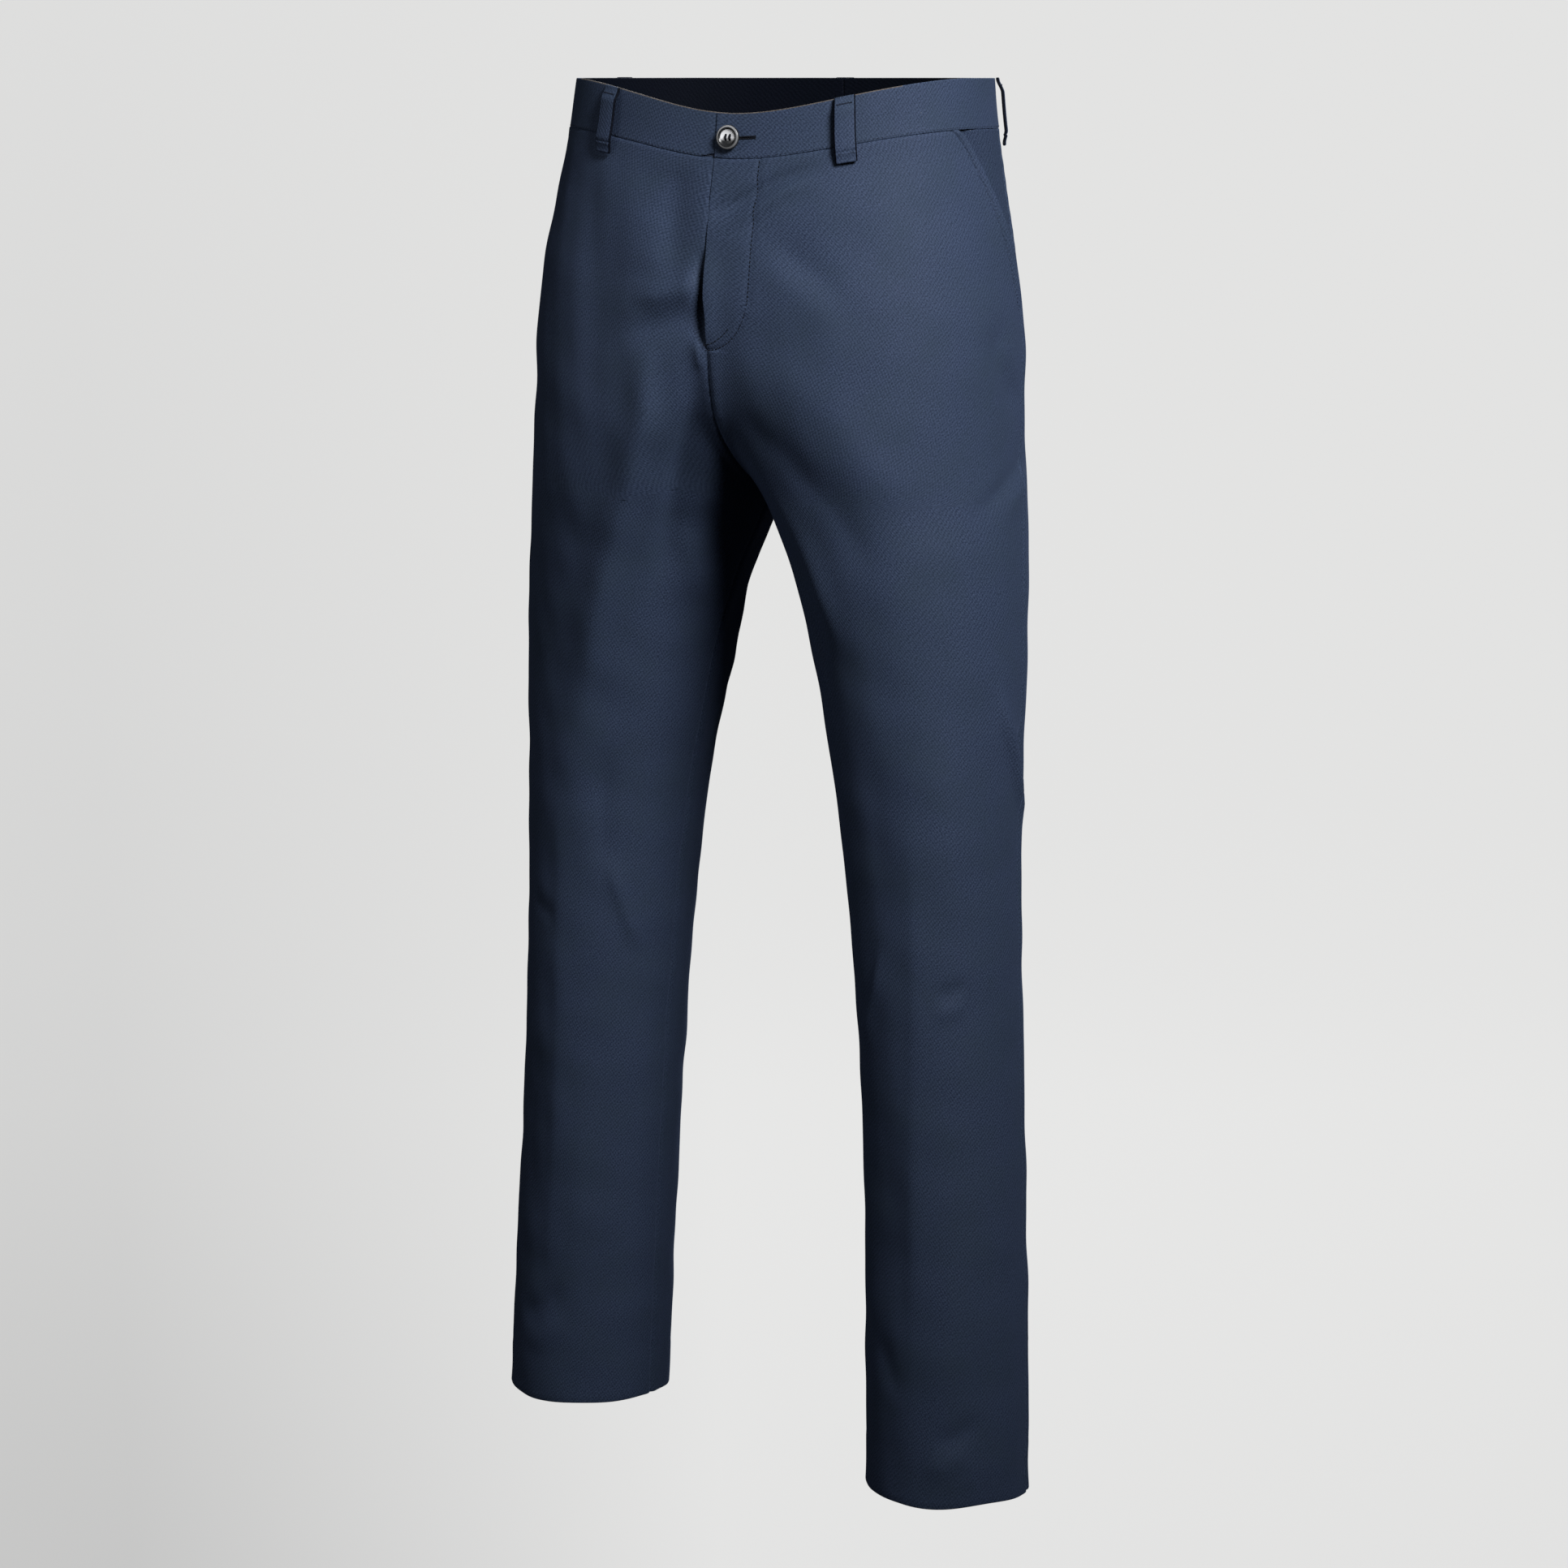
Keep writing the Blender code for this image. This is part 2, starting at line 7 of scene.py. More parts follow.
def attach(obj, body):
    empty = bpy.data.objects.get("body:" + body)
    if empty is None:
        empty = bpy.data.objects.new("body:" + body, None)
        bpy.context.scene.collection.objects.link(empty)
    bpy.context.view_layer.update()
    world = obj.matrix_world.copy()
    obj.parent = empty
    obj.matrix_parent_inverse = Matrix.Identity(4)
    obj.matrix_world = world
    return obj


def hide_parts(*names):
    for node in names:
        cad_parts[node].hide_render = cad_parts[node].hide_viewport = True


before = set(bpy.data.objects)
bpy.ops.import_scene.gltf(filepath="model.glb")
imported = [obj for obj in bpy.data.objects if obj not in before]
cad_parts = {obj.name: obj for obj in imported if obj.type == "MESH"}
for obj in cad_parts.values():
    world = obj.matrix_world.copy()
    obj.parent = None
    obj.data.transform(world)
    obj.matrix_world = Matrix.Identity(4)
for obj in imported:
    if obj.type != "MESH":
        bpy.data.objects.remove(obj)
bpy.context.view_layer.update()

# the worn form: level sections through each side, in metres
form = {
    "bandHalf": 0.018, "crotch": 0.280, "crotchTurn": 0.0008, "hem": 1.034,
    "waistDip": 0.0242, "dipReach": 0.220, "dipSpread": 2.4, "dipAim": 7,
    "hemSlope": 0.11, "hemSlopeStart": 0.85,
    "centreSpan": 0.020, "spanFade": 2.2, "small": 0.0005,
    "sideSeamBehind": 12, "sideSeamBehindLeg": 6, "sideSeamSettle": 0.25,   # degrees, degrees, metres
    "inseamAhead": 4, "inseamSettle": 0.12,
    "pocketTopTurn": 30, "pocketEnd": 0.150, "pocketCurve": 0.7,
    "flyLap": 0.002, "flyLift": 0.0010, "flyLiftSpread": 0.016, "flyBottom": 0.168, "flyFade": 0.022,
    "lapLift": 0.0001, "lapSink": 0.0009, "lapSinkSpread": 0.0050, "lapWall": 0.0007, "lapThin": 0.010,
    "nearTurn": 0.007, "nearDown": 0.0008,                # steps for working out how the surface leans
    "settle": 0.022, "hemWave": 0.0011, "hemWaveFrom": 0.99, "hemWaveDeep": 0.044,
}
cutRows = np.array((     # down, half breadth, half depth, squareness, sway to the left
    (-0.018, 0.1560, 0.1100, 2.30, 0.000), (0.018, 0.1595, 0.1130, 2.30, -0.001),
    (0.070, 0.1570, 0.1200, 2.25, -0.002), (0.120, 0.1530, 0.1240, 2.20, -0.002),
    (0.170, 0.1420, 0.1255, 2.15, -0.002), (0.210, 0.1255, 0.1240, 2.10, -0.002),
    (0.245, 0.1070, 0.1190, 2.05, -0.003), (0.280, 0.0950, 0.1120, 2.00, -0.003),
    (0.320, 0.0870, 0.1040, 2.00, -0.001), (0.370, 0.0800, 0.0960, 2.00, 0.000),
    (0.420, 0.0750, 0.0900, 2.00, 0.000), (0.520, 0.0660, 0.0820, 2.00, 0.000),
    (0.640, 0.0610, 0.0760, 2.00, 0.000), (0.780, 0.0595, 0.0740, 2.00, 0.000),
    (0.920, 0.0605, 0.0730, 2.00, 0.000), (1.034, 0.0610, 0.0730, 2.00, 0.000),
))
# down, out from the middle, back, turn in degrees: the left leg is half a step ahead
stanceRows = {
    "left": np.array((
        (-0.018, 0.000, 0.000, 0), (0.018, 0.001, 0.000, 0), (0.070, 0.013, -0.002, 0),
        (0.120, 0.026, -0.005, 0), (0.170, 0.043, -0.005, 0), (0.210, 0.060, -0.005, 0),
        (0.245, 0.080, -0.005, 0), (0.280, 0.095, -0.006, 0), (0.320, 0.105, -0.009, 1),
        (0.370, 0.113, -0.012, 2), (0.420, 0.119, -0.014, 3), (0.520, 0.128, -0.018, 4),
        (0.640, 0.137, -0.022, 5), (0.780, 0.145, -0.026, 5), (0.920, 0.150, -0.030, 5),
        (1.034, 0.152, -0.032, 5))),
    "right": np.array((
        (-0.018, 0.000, 0.000, 0), (0.018, 0.001, 0.000, 0), (0.070, 0.013, -0.002, 0),
        (0.120, 0.026, -0.005, 0), (0.170, 0.043, -0.005, 0), (0.210, 0.060, -0.005, 0),
        (0.245, 0.080, -0.005, 0), (0.280, 0.095, -0.005, 0), (0.320, 0.110, -0.001, 1),
        (0.370, 0.123, 0.002, 2), (0.420, 0.132, 0.006, 3), (0.520, 0.147, 0.014, 4),
        (0.640, 0.159, 0.020, 5), (0.780, 0.172, 0.028, 5), (0.920, 0.185, 0.036, 5),
        (1.034, 0.194, 0.042, 5))),
}
sideSign = {"left": 1, "right": -1}


def readTable(rows, down):
    down = np.asarray(down, float)
    spots = np.arange(len(rows))
    before, after = np.maximum(spots - 1, 0), np.minimum(spots + 1, len(rows) - 1)
    slopes = (rows[after] - rows[before]) / (rows[after, :1] - rows[before, :1])
    at = np.searchsorted(rows[1:-1, 0], down)
    step = (rows[at + 1, 0] - rows[at, 0])[..., None]
    t = (down[..., None] - rows[at, :1]) / step
    value = (2 * t**3 - 3 * t**2 + 1) * rows[at] + (t**3 - 2 * t**2 + t) * step * slopes[at]
    value = value + (3 * t**2 - 2 * t**3) * rows[at + 1] + (t**3 - t**2) * step * slopes[at + 1]
    return [value[..., column] for column in range(1, rows.shape[1])]


def smooth(value):
    value = np.clip(value, 0.0, 1.0)
    return value * value * (3 - 2 * value)


def bump(value, half):
    return np.exp(-(value / half) ** 2)


def signedPower(value, power):
    return np.abs(value) ** power * np.where(value >= 0, 1.0, -1.0)


def surfacePoint(side, down, angle):          # angle 0 is the inseam, 90 the front, 180 the outer side
    down, angle = np.broadcast_arrays(np.asarray(down, float), np.asarray(angle, float))
    breadth, depth, square, sway = readTable(cutRows, down)
    out, back, turn = readTable(stanceRows[side], down)
    localX = -breadth * signedPower(np.cos(angle), 2 / square)
    localY = -depth * signedPower(np.sin(angle), 2 / square)
    across = out + localX
    span = form["centreSpan"] * np.minimum(1.0, form["spanFade"] * (1 - np.minimum(out / breadth, 1.0)))
    reach = np.maximum(span, form["small"])
    place = np.clip((out - reach) / breadth, -0.999, 0.999)
    rest = 1 - np.abs(place) ** square
    lean = depth / breadth * signedPower(place, square - 1) * rest ** (1 / square - 1)
    rounded = depth * rest ** (1 / square) + lean * (across**2 - reach**2) / (2 * reach)
    spanned = (down < form["crotch"]) & (across < span) & (span > form["small"])
    localY = np.where(spanned, np.where(localY < 0, -rounded, rounded), localY)
    turn = np.radians(turn)
    turnedX = localX * np.cos(turn) - localY * np.sin(turn)
    turnedY = localX * np.sin(turn) + localY * np.cos(turn)
    x, y = sway + sideSign[side] * (out + turnedX), back + turnedY
    bearing = np.minimum(np.abs(np.arctan2(x, -y) - radians(form["dipAim"])) * form["dipSpread"], pi)
    fade = np.clip(1 - (down + form["bandHalf"]) / form["dipReach"], 0.0, 1.0)
    dip = form["waistDip"] * (1 + np.cos(bearing)) / 2 * fade
    slope = smooth((down - form["hemSlopeStart"]) / (form["hem"] - form["hemSlopeStart"]))
    return np.stack((x, y, -down - dip - form["hemSlope"] * turnedY * slope), axis=-1)


def unit(vectors):
    return vectors / np.maximum(np.linalg.norm(vectors, axis=-1, keepdims=True), 1e-12)


def middleOf(down):
    return readTable(cutRows, down)[3]


def surfaceNormal(side, down, angle):         # outward, level across the centre seams
    down, angle = np.broadcast_arrays(np.asarray(down, float), np.asarray(angle, float))
    turn, step = form["nearTurn"], form["nearDown"]
    along = surfacePoint(side, down, angle + turn) - surfacePoint(side, down, angle - turn)
    low, high = np.minimum(down + step, form["hem"]), np.maximum(down - step, -form["bandHalf"])
    drop = surfacePoint(side, low, angle) - surfacePoint(side, high, angle)
    normal = unit(np.cross(drop, along)) * sideSign[side]
    fromMiddle = np.abs(surfacePoint(side, down, angle)[..., 0] - middleOf(down))
    level = bump(fromMiddle, 0.004) * (down < form["crotch"] + 0.001)
    normal[..., 0] *= 1 - level
    return unit(normal)


def surfaceFrame(side, down, angle):
    return surfacePoint(side, down, angle), surfaceNormal(side, down, angle)


def angleAcross(side, down, across, atBack=False):
    breadth, depth, square, sway = readTable(cutRows, down)
    place = np.clip((readTable(stanceRows[side], down)[0] - across) / breadth, -1.0, 1.0)
    angle = np.arccos(signedPower(place, square / 2))
    return 2 * pi - angle if atBack else angle


def acrossAt(side, down, angle):
    return sideSign[side] * (surfacePoint(side, down, angle)[..., 0] - middleOf(down))


def seamTurn(down, gap):                      # a distance round the leg, as an angle
    return gap / readTable(cutRows, down)[0]


def sideSeam(down):
    settle = smooth((down - form["pocketEnd"]) / form["sideSeamSettle"])
    behind = form["sideSeamBehind"]
    return pi + np.radians(behind + (form["sideSeamBehindLeg"] - behind) * settle)


def pocketShare(down):
    return np.clip((down - form["bandHalf"]) / (form["pocketEnd"] - form["bandHalf"]), 0.0, 1.0)


def pocketMouth(down):
    return sideSeam(down) - radians(form["pocketTopTurn"]) * (1 - pocketShare(down) ** form["pocketCurve"])


def innerEdge(side, down, gap, atBack=False):     # centre seam, then inseam
    centre = angleAcross(side, np.minimum(down, form["crotch"]), gap, atBack)
    ahead = radians(form["inseamAhead"]) * smooth((down - form["crotch"]) / form["inseamSettle"])
    seam = 2 * pi + ahead - seamTurn(down, gap) if atBack else ahead + seamTurn(down, gap)
    share = np.clip((down - form["crotch"]) / form["crotchTurn"] + 0.5, 0.0, 1.0)
    return centre + (seam - centre) * share


def flyLift(side, down, across):              # the left front laps over the right one
    fade = 1 - smooth((down - form["flyBottom"] + form["flyFade"]) / form["flyFade"])
    if side == "left":
        height, reach = form["lapLift"], form["flyLiftSpread"]
    else:
        height, reach = -form["lapSink"], form["lapSinkSpread"]
    return height * (1 - smooth(across / reach)) * fade


# folds worn into the cloth: side, rise in mm, half width before and after the line in mm,
# and the line as (down, degrees round)
folds = (
    # right front: the thigh's long soft ridge, its hollow, and the whisker beside the fly
    ("right", 8.6, 15, 11, ((0.128, 96), (0.160, 92), (0.195, 88), (0.235, 80), (0.275, 76), (0.340, 77),
                            (0.400, 80), (0.470, 83))),
    ("right", -7.0, 10, 14, ((0.160, 80), (0.195, 73), (0.235, 63), (0.275, 55), (0.320, 50), (0.370, 52))),
    ("right", -4.4, 12, 14, ((0.130, 76), (0.140, 82), (0.147, 88), (0.157, 95), (0.168, 100))),
    ("right", 3.2, 9, 9, ((0.106, 82), (0.118, 86), (0.128, 93), (0.132, 101))),
    ("right", 1.6, 4, 4, ((0.148, 81), (0.160, 79), (0.174, 76), (0.188, 73))),
    ("right", -2.6, 12, 16, ((0.060, 84), (0.090, 82), (0.120, 80), (0.150, 80))),
    ("right", -3.6, 15, 15, ((0.016, 99), (0.040, 97), (0.070, 95), (0.100, 92), (0.128, 88))),
    ("right", -3.0, 24, 24, ((0.040, 124), (0.085, 120), (0.130, 112), (0.175, 108), (0.230, 106))),
    ("right", 1.8, 20, 18, ((0.060, 98), (0.090, 98), (0.115, 96))),
    ("right", -3.2, 14, 14, ((0.285, 42), (0.310, 28), (0.345, 14))),
    ("right", 2.2, 10, 12, ((0.300, 52), (0.330, 36), (0.370, 24))),
    ("right", -0.8, 22, 26, ((0.330, 108), (0.400, 104), (0.480, 100))),
    ("right", 1.8, 16, 20, ((0.420, 84), (0.500, 84), (0.580, 82))),
    # left front: creases under the front loop, off the fly, and the pull from the crotch
    ("left", -3.8, 5, 7, ((0.022, 120), (0.028, 112), (0.036, 103), (0.048, 95), (0.060, 88), (0.072, 83))),
    ("left", -2.2, 6, 7, ((0.042, 114), (0.052, 105), (0.066, 96), (0.078, 89))),
    ("left", 2.8, 6, 8, ((0.034, 116), (0.044, 106), (0.058, 97), (0.074, 89))),
    ("left", -2.2, 11, 12, ((0.076, 97), (0.094, 104), (0.112, 111), (0.132, 118))),
    ("left", 1.4, 13, 14, ((0.094, 94), (0.112, 101), (0.135, 108), (0.160, 115))),
    ("left", -4.2, 18, 19, ((0.196, 64), (0.220, 70), (0.250, 78), (0.285, 88), (0.320, 98), (0.350, 106))),
    ("left", 4.0, 11, 12, ((0.250, 52), (0.278, 58), (0.312, 62), (0.350, 66), (0.400, 70))),
    ("left", -3.0, 8, 10, ((0.290, 42), (0.330, 46), (0.380, 50), (0.430, 52))),
    ("left", 2.6, 20, 22, ((0.165, 90), (0.200, 100), (0.250, 112), (0.300, 122))),
    ("left", 1.2, 3, 3, ((0.340, 46), (0.372, 51), (0.400, 54))),
    ("left", -3.2, 14, 13, ((0.150, 180), (0.172, 170), (0.196, 176), (0.225, 192))),
    ("left", -2.4, 7, 9, ((0.240, 206), (0.253, 192), (0.266, 176), (0.280, 160), (0.290, 144))),
    ("left", 1.8, 9, 10, ((0.262, 204), (0.277, 184), (0.294, 164))),
    # left knee
    ("left", 5.0, 6, 10, ((0.400, 156), (0.440, 164), (0.475, 175), (0.505, 187), (0.530, 200))),
    ("left", -3.6, 9, 7, ((0.440, 180), (0.470, 186), (0.505, 196))),
    ("left", 2.4, 4, 8, ((0.600, 72), (0.630, 64), (0.655, 54), (0.690, 38))),
    ("left", -1.8, 4, 5, ((0.626, 132), (0.633, 120), (0.636, 106))),
    ("left", 1.5, 5, 5, ((0.642, 132), (0.648, 118), (0.650, 104))),
    ("left", -2.6, 22, 24, ((0.420, 88), (0.500, 80), (0.580, 72), (0.640, 64))),
    ("left", 2.2, 22, 24, ((0.420, 122), (0.500, 122), (0.600, 118))),
    # right knee
    ("right", 2.2, 5, 9, ((0.560, 62), (0.590, 52), (0.620, 42), (0.650, 30))),
    ("right", -2.2, 9, 12, ((0.470, 66), (0.540, 62), (0.600, 56))),
    ("right", -1.6, 6, 7, ((0.604, 122), (0.612, 108), (0.618, 92))),
    ("right", 2.2, 8, 12, ((0.430, 150), (0.480, 160), (0.530, 176))),
    # pressed creases down both fronts and backs
    ("left", 1.2, 7, 10, ((0.420, 102), (0.520, 99), (0.640, 94), (0.760, 88), (0.900, 85), (1.020, 86))),
    ("right", 1.1, 7, 10, ((0.440, 98), (0.540, 94), (0.660, 90), (0.780, 88), (0.920, 88), (1.020, 90))),
    ("left", 1.6, 7, 7, ((0.420, 272), (0.600, 270), (0.800, 268), (1.020, 268))),
    ("right", 1.6, 7, 7, ((0.420, 272), (0.600, 270), (0.800, 268), (1.020, 268))),
    # shins and hems
    ("left", -2.6, 18, 22, ((0.700, 60), (0.800, 66), (0.900, 62))),
    ("left", 2.0, 16, 20, ((0.800, 124), (0.890, 114), (0.980, 108))),
    ("left", -1.8, 7, 8, ((0.960, 136), (0.975, 118), (0.985, 98))),
    ("left", 1.6, 8, 9, ((0.985, 128), (0.998, 108), (1.004, 90))),
    ("left", -1.6, 9, 10, ((0.900, 54), (0.930, 66), (0.952, 78))),
    ("right", -2.8, 18, 22, ((0.700, 108), (0.800, 116), (0.900, 112))),
    ("right", 2.2, 16, 20, ((0.740, 62), (0.860, 68), (0.950, 64))),
    ("right", -2.2, 9, 11, ((0.925, 72), (0.950, 94), (0.966, 118))),
    ("right", 1.6, 9, 10, ((0.955, 70), (0.978, 92), (0.990, 112))),
    # seat and backs of the legs
    ("left", -3.2, 13, 15, ((0.215, 284), (0.235, 268), (0.262, 250), (0.300, 232))),
    ("left", 3.2, 14, 14, ((0.240, 292), (0.262, 276), (0.292, 258), (0.330, 240))),
    ("left", -3.4, 11, 13, ((0.275, 304), (0.298, 288), (0.330, 270), (0.370, 256))),
    ("left", -3.0, 9, 11, ((0.520, 320), (0.530, 296), (0.548, 270), (0.560, 244))),
    ("left", 2.6, 10, 11, ((0.545, 318), (0.556, 292), (0.572, 266), (0.590, 240))),
    ("left", -2.6, 8, 10, ((0.585, 308), (0.592, 284), (0.606, 258))),
    ("left", -2.2, 18, 20, ((0.640, 240), (0.740, 246), (0.840, 250))),
    ("right", -3.0, 14, 16, ((0.220, 286), (0.242, 270), (0.272, 252), (0.312, 236))),
    ("right", 3.2, 14, 15, ((0.246, 294), (0.270, 278), (0.302, 260), (0.342, 244))),
    ("right", -4.0, 11, 12, ((0.285, 318), (0.312, 302), (0.350, 288), (0.400, 278))),
    ("right", 3.2, 10, 12, ((0.308, 330), (0.338, 316), (0.385, 304), (0.440, 296))),
    ("right", -3.4, 9, 11, ((0.330, 342), (0.370, 330), (0.430, 320))),
    ("right", 2.4, 8, 9, ((0.352, 350), (0.400, 340), (0.450, 332))),
    ("right", -3.0, 9, 11, ((0.530, 316), (0.542, 292), (0.560, 266), (0.574, 242))),
    ("right", 2.6, 10, 11, ((0.556, 314), (0.570, 288), (0.588, 262))),
    ("right", -2.2, 18, 20, ((0.660, 290), (0.760, 286), (0.860, 288))),
)
foldShape = {"taper": 0.35, "power": 1.8, "reach": 3}
waves = {"count": 14, "seed": 4, "rise": 0.00011, "shortest": 0.022, "longest": 0.100}


def smoothLine(side, spots, steps=9):         # a curve through (down, degrees) spots, laid on the surface
    spots = np.array(spots, float)
    ends = np.vstack((2 * spots[0] - spots[1], spots, 2 * spots[-1] - spots[-2]))
    pieces = []
    for at in range(len(spots) - 1):
        a, b, c, d = ends[at:at + 4]
        t = np.linspace(0, 1, steps, endpoint=at == len(spots) - 2)[:, None]
        pieces.append(0.5 * (2 * b + (c - a) * t + (2 * a - 5 * b + 4 * c - d) * t**2
                             + (3 * b - a - 3 * c + d) * t**3))
    chart = np.vstack(pieces)
    down = np.clip(chart[:, 0], -form["bandHalf"], form["hem"])
    return surfacePoint(side, down, np.radians(chart[:, 1]))


def besideLine(points, normals, line):        # share along the line, and distance to its side
    best = np.full(len(points), 1e9)
    share, aside = np.zeros(len(points)), np.zeros(len(points))
    lengths = np.concatenate(([0], np.cumsum(np.linalg.norm(np.diff(line, axis=0), axis=1))))
    for at in range(len(line) - 1):
        a, run = line[at], line[at + 1] - line[at]
        t = np.clip((points - a) @ run / (run @ run), 0, 1)
        off = points - a - t[:, None] * run
        gap = np.linalg.norm(off, axis=1)
        turn = np.sign((np.cross(run, off) * normals).sum(1))
        near = gap < best
        best = np.where(near, gap, best)
        aside = np.where(near, gap * turn, aside)
        share = np.where(near, (lengths[at] + t * (lengths[at + 1] - lengths[at])) / lengths[-1], share)
    return share, aside


foldLines = [(side, rise / 1000, before / 1000, after / 1000, smoothLine(side, spots))
             for side, rise, before, after, spots in folds]
waveRandom = np.random.default_rng(waves["seed"])
waveWays = unit(waveRandom.normal(size=(waves["count"], 3))) * 2 * pi
waveWays = waveWays / waveRandom.uniform(waves["shortest"], waves["longest"], (waves["count"], 1))
wavePhases = waveRandom.uniform(0, 2 * pi, waves["count"])


def wornRelief(side, points, normals):        # stand-off of the cloth from its even form
    flatPoints, flatNormals = points.reshape(-1, 3), normals.reshape(-1, 3)
    height = np.zeros(len(flatPoints))
    for foldSide, rise, before, after, line in foldLines:
        reach = foldShape["reach"] * max(before, after)
        low, high = line.min(0) - reach, line.max(0) + reach
        near = np.all((flatPoints > low) & (flatPoints < high), axis=1)
        if foldSide != side or not near.any():
            continue
        share, aside = besideLine(flatPoints[near], flatNormals[near], line)
        width = np.where(aside < 0, before, after)
        taper = smooth(share / foldShape["taper"]) * smooth((1 - share) / foldShape["taper"])
        height[near] += rise * taper * np.exp(-(np.abs(aside) / width) ** foldShape["power"])
    waveSum = np.sin(flatPoints @ waveWays.T + wavePhases).sum(1)
    return (height + waves["rise"] * waveSum).reshape(points.shape[:-1])


def makePoints(side, down, angle, lift):
    base, normal = surfaceFrame(side, down, angle)
    settle = smooth((down - form["bandHalf"]) / form["settle"])
    height = wornRelief(side, base, normal) * settle + lift
    points = base + normal * height[..., None]
    wave = form["hemWave"] * (np.sin(3 * angle + 0.6) + 0.7 * np.sin(5 * angle + 2.0))
    points[..., 2] += wave * smooth((down - form["hemWaveFrom"]) / form["hemWaveDeep"])
    return points, normal


def putInScene(name, data):
    thing = bpy.data.objects.new(name, data)
    bpy.context.scene.collection.objects.link(thing)
    return thing


def smoothFaces(mesh):
    mesh.polygons.foreach_set("use_smooth", np.ones(len(mesh.polygons), bool))
    mesh.update()


def shellMesh(name, outer, normals, wall, chart, materials, edgeSlot=0, topSlots=None):
    rows, columns = outer.shape[:2]
    wall = np.broadcast_to(np.asarray(wall, float), (rows, columns))[..., None]
    inner = outer - normals * wall
    turns = np.radians((30, 60, 90, 120, 150))

    def ring(outerRow, innerRow, wallRow, normalRow):
        middle = (outerRow + innerRow) / 2
        caps = []
        for edge, beside in ((-1, -2), (0, 1)):
            way = unit(outerRow[edge] - outerRow[beside])
            half = wallRow[edge] / 2
            caps.append(np.array([middle[edge] + half * (normalRow[edge] * cos(t) + way * sin(t)) for t in turns]))
        return np.concatenate((outerRow, caps[0], innerRow[::-1], caps[1][::-1]))

    rings, chartRings = [], []
    chartEnd = np.repeat(chart[:, -1:], len(turns), axis=1)
    chartStart = np.repeat(chart[:, :1], len(turns), axis=1)
    for row in range(rows):
        rings.append(ring(outer[row], inner[row], wall[row], normals[row]))
        chartRings.append(np.concatenate((chart[row], chartEnd[row], chart[row][::-1], chartStart[row])))
    for row, beside, front in ((0, 1, True), (rows - 1, rows - 2, False)):
        way = unit(outer[row] - outer[beside])
        middle = (outer[row] + inner[row]) / 2
        for turn in (radians(35), radians(65)):
            thin = wall[row] * cos(turn)
            shift = way * wall[row] / 2 * sin(turn)
            newOuter = middle + normals[row] * thin / 2 + shift
            newInner = middle - normals[row] * thin / 2 + shift
            made = ring(newOuter, newInner, thin, normals[row])
            if front:
                rings.insert(0, made)
                chartRings.insert(0, chartRings[0])
            else:
                rings.append(made)
                chartRings.append(chartRings[-1])
    rings, chartRings = np.array(rings), np.array(chartRings)
    count, around = rings.shape[:2]
    a = np.arange(around)
    b = (a + 1) % around
    level = (np.arange(count - 1) * around)[:, None]
    sides = np.stack((level + a, level + around + a, level + around + b, level + b), axis=-1).reshape(-1, 4)
    half = len(turns) // 2 + 1
    slots = np.where((a >= columns - 1 + half) & (a < 2 * columns + len(turns) - 1 + half), 1,
                     np.where(a < columns - 1, 0, edgeSlot))
    slots = np.tile(slots, count - 1)
    ends = []
    total = 2 * columns + 2 * len(turns)
    for base, turned in ((0, False), ((count - 1) * around, True)):
        loop = [((columns - 1 - i) % total, (columns + len(turns) + i) % total) for i in range(columns)]
        for (p, q), (r, s) in zip(loop[:-1], loop[1:]):
            quad = (base + p, base + r, base + s, base + q)
            ends.append(quad if turned else quad[::-1])
        capEnd = [base + columns - 1 + i for i in range(len(turns) + 2)]
        capStart = [base + (2 * columns + len(turns) - 1 + i) % total for i in range(len(turns) + 2)]
        for cap in (capEnd, capStart):
            ends.append(tuple(cap[::-1] if turned else cap))
    faces = [tuple(face) for face in sides.tolist()] + ends
    slots = slots.tolist() + [edgeSlot] * len(ends)
    if topSlots is not None:
        for at in range(columns - 1):
            slots[len(sides) + at] = int(topSlots[columns - 2 - at])
            slots[at] = slots[around + at] = int(topSlots[at])
    return meshFrom(name, rings.reshape(-1, 3), faces, chartRings.reshape(-1, 2), materials, slots)


def meshFrom(name, points, faces, chart, materials, slots):
    mesh = bpy.data.meshes.new(name)
    mesh.from_pydata([tuple(p) for p in points.tolist()], [], faces)
    if signedVolume(points, faces) < 0:
        mesh.flip_normals()
    layer = mesh.uv_layers.new(name="cloth")
    corners = np.zeros(len(mesh.loops), np.int32)
    mesh.loops.foreach_get("vertex_index", corners)
    layer.data.foreach_set("uv", chart[corners].astype(np.float32).ravel())
    for material in materials:
        mesh.materials.append(material)
    mesh.polygons.foreach_set("material_index", np.array(slots, np.int32))
    smoothFaces(mesh)
    return putInScene(name, mesh)


def signedVolume(points, faces):
    total = 0.0
    quads = np.array([face for face in faces if len(face) == 4])
    for first, second, third in ((0, 1, 2), (0, 2, 3)):
        a, b, c = points[quads[:, first]], points[quads[:, second]], points[quads[:, third]]
        total += (a * np.cross(b, c)).sum() / 6
    return total


def setSockets(node, values):
    for name, value in values.items():
        node.inputs[name].default_value = value


def addNode(tree, kind, values=None, **settings):
    node = tree.nodes.new(kind)
    for name, value in settings.items():
        setattr(node, name, value)
    setSockets(node, values or {})
    return node


def addMath(tree, operation, first, second=None, third=None):
    node = tree.nodes.new("ShaderNodeMath")
    node.operation = operation
    for index, value in enumerate((first, second, third)):
        if value is None:
            continue
        if isinstance(value, (int, float)):
            node.inputs[index].default_value = value
        else:
            tree.links.new(value, node.inputs[index])
    return node.outputs[0]


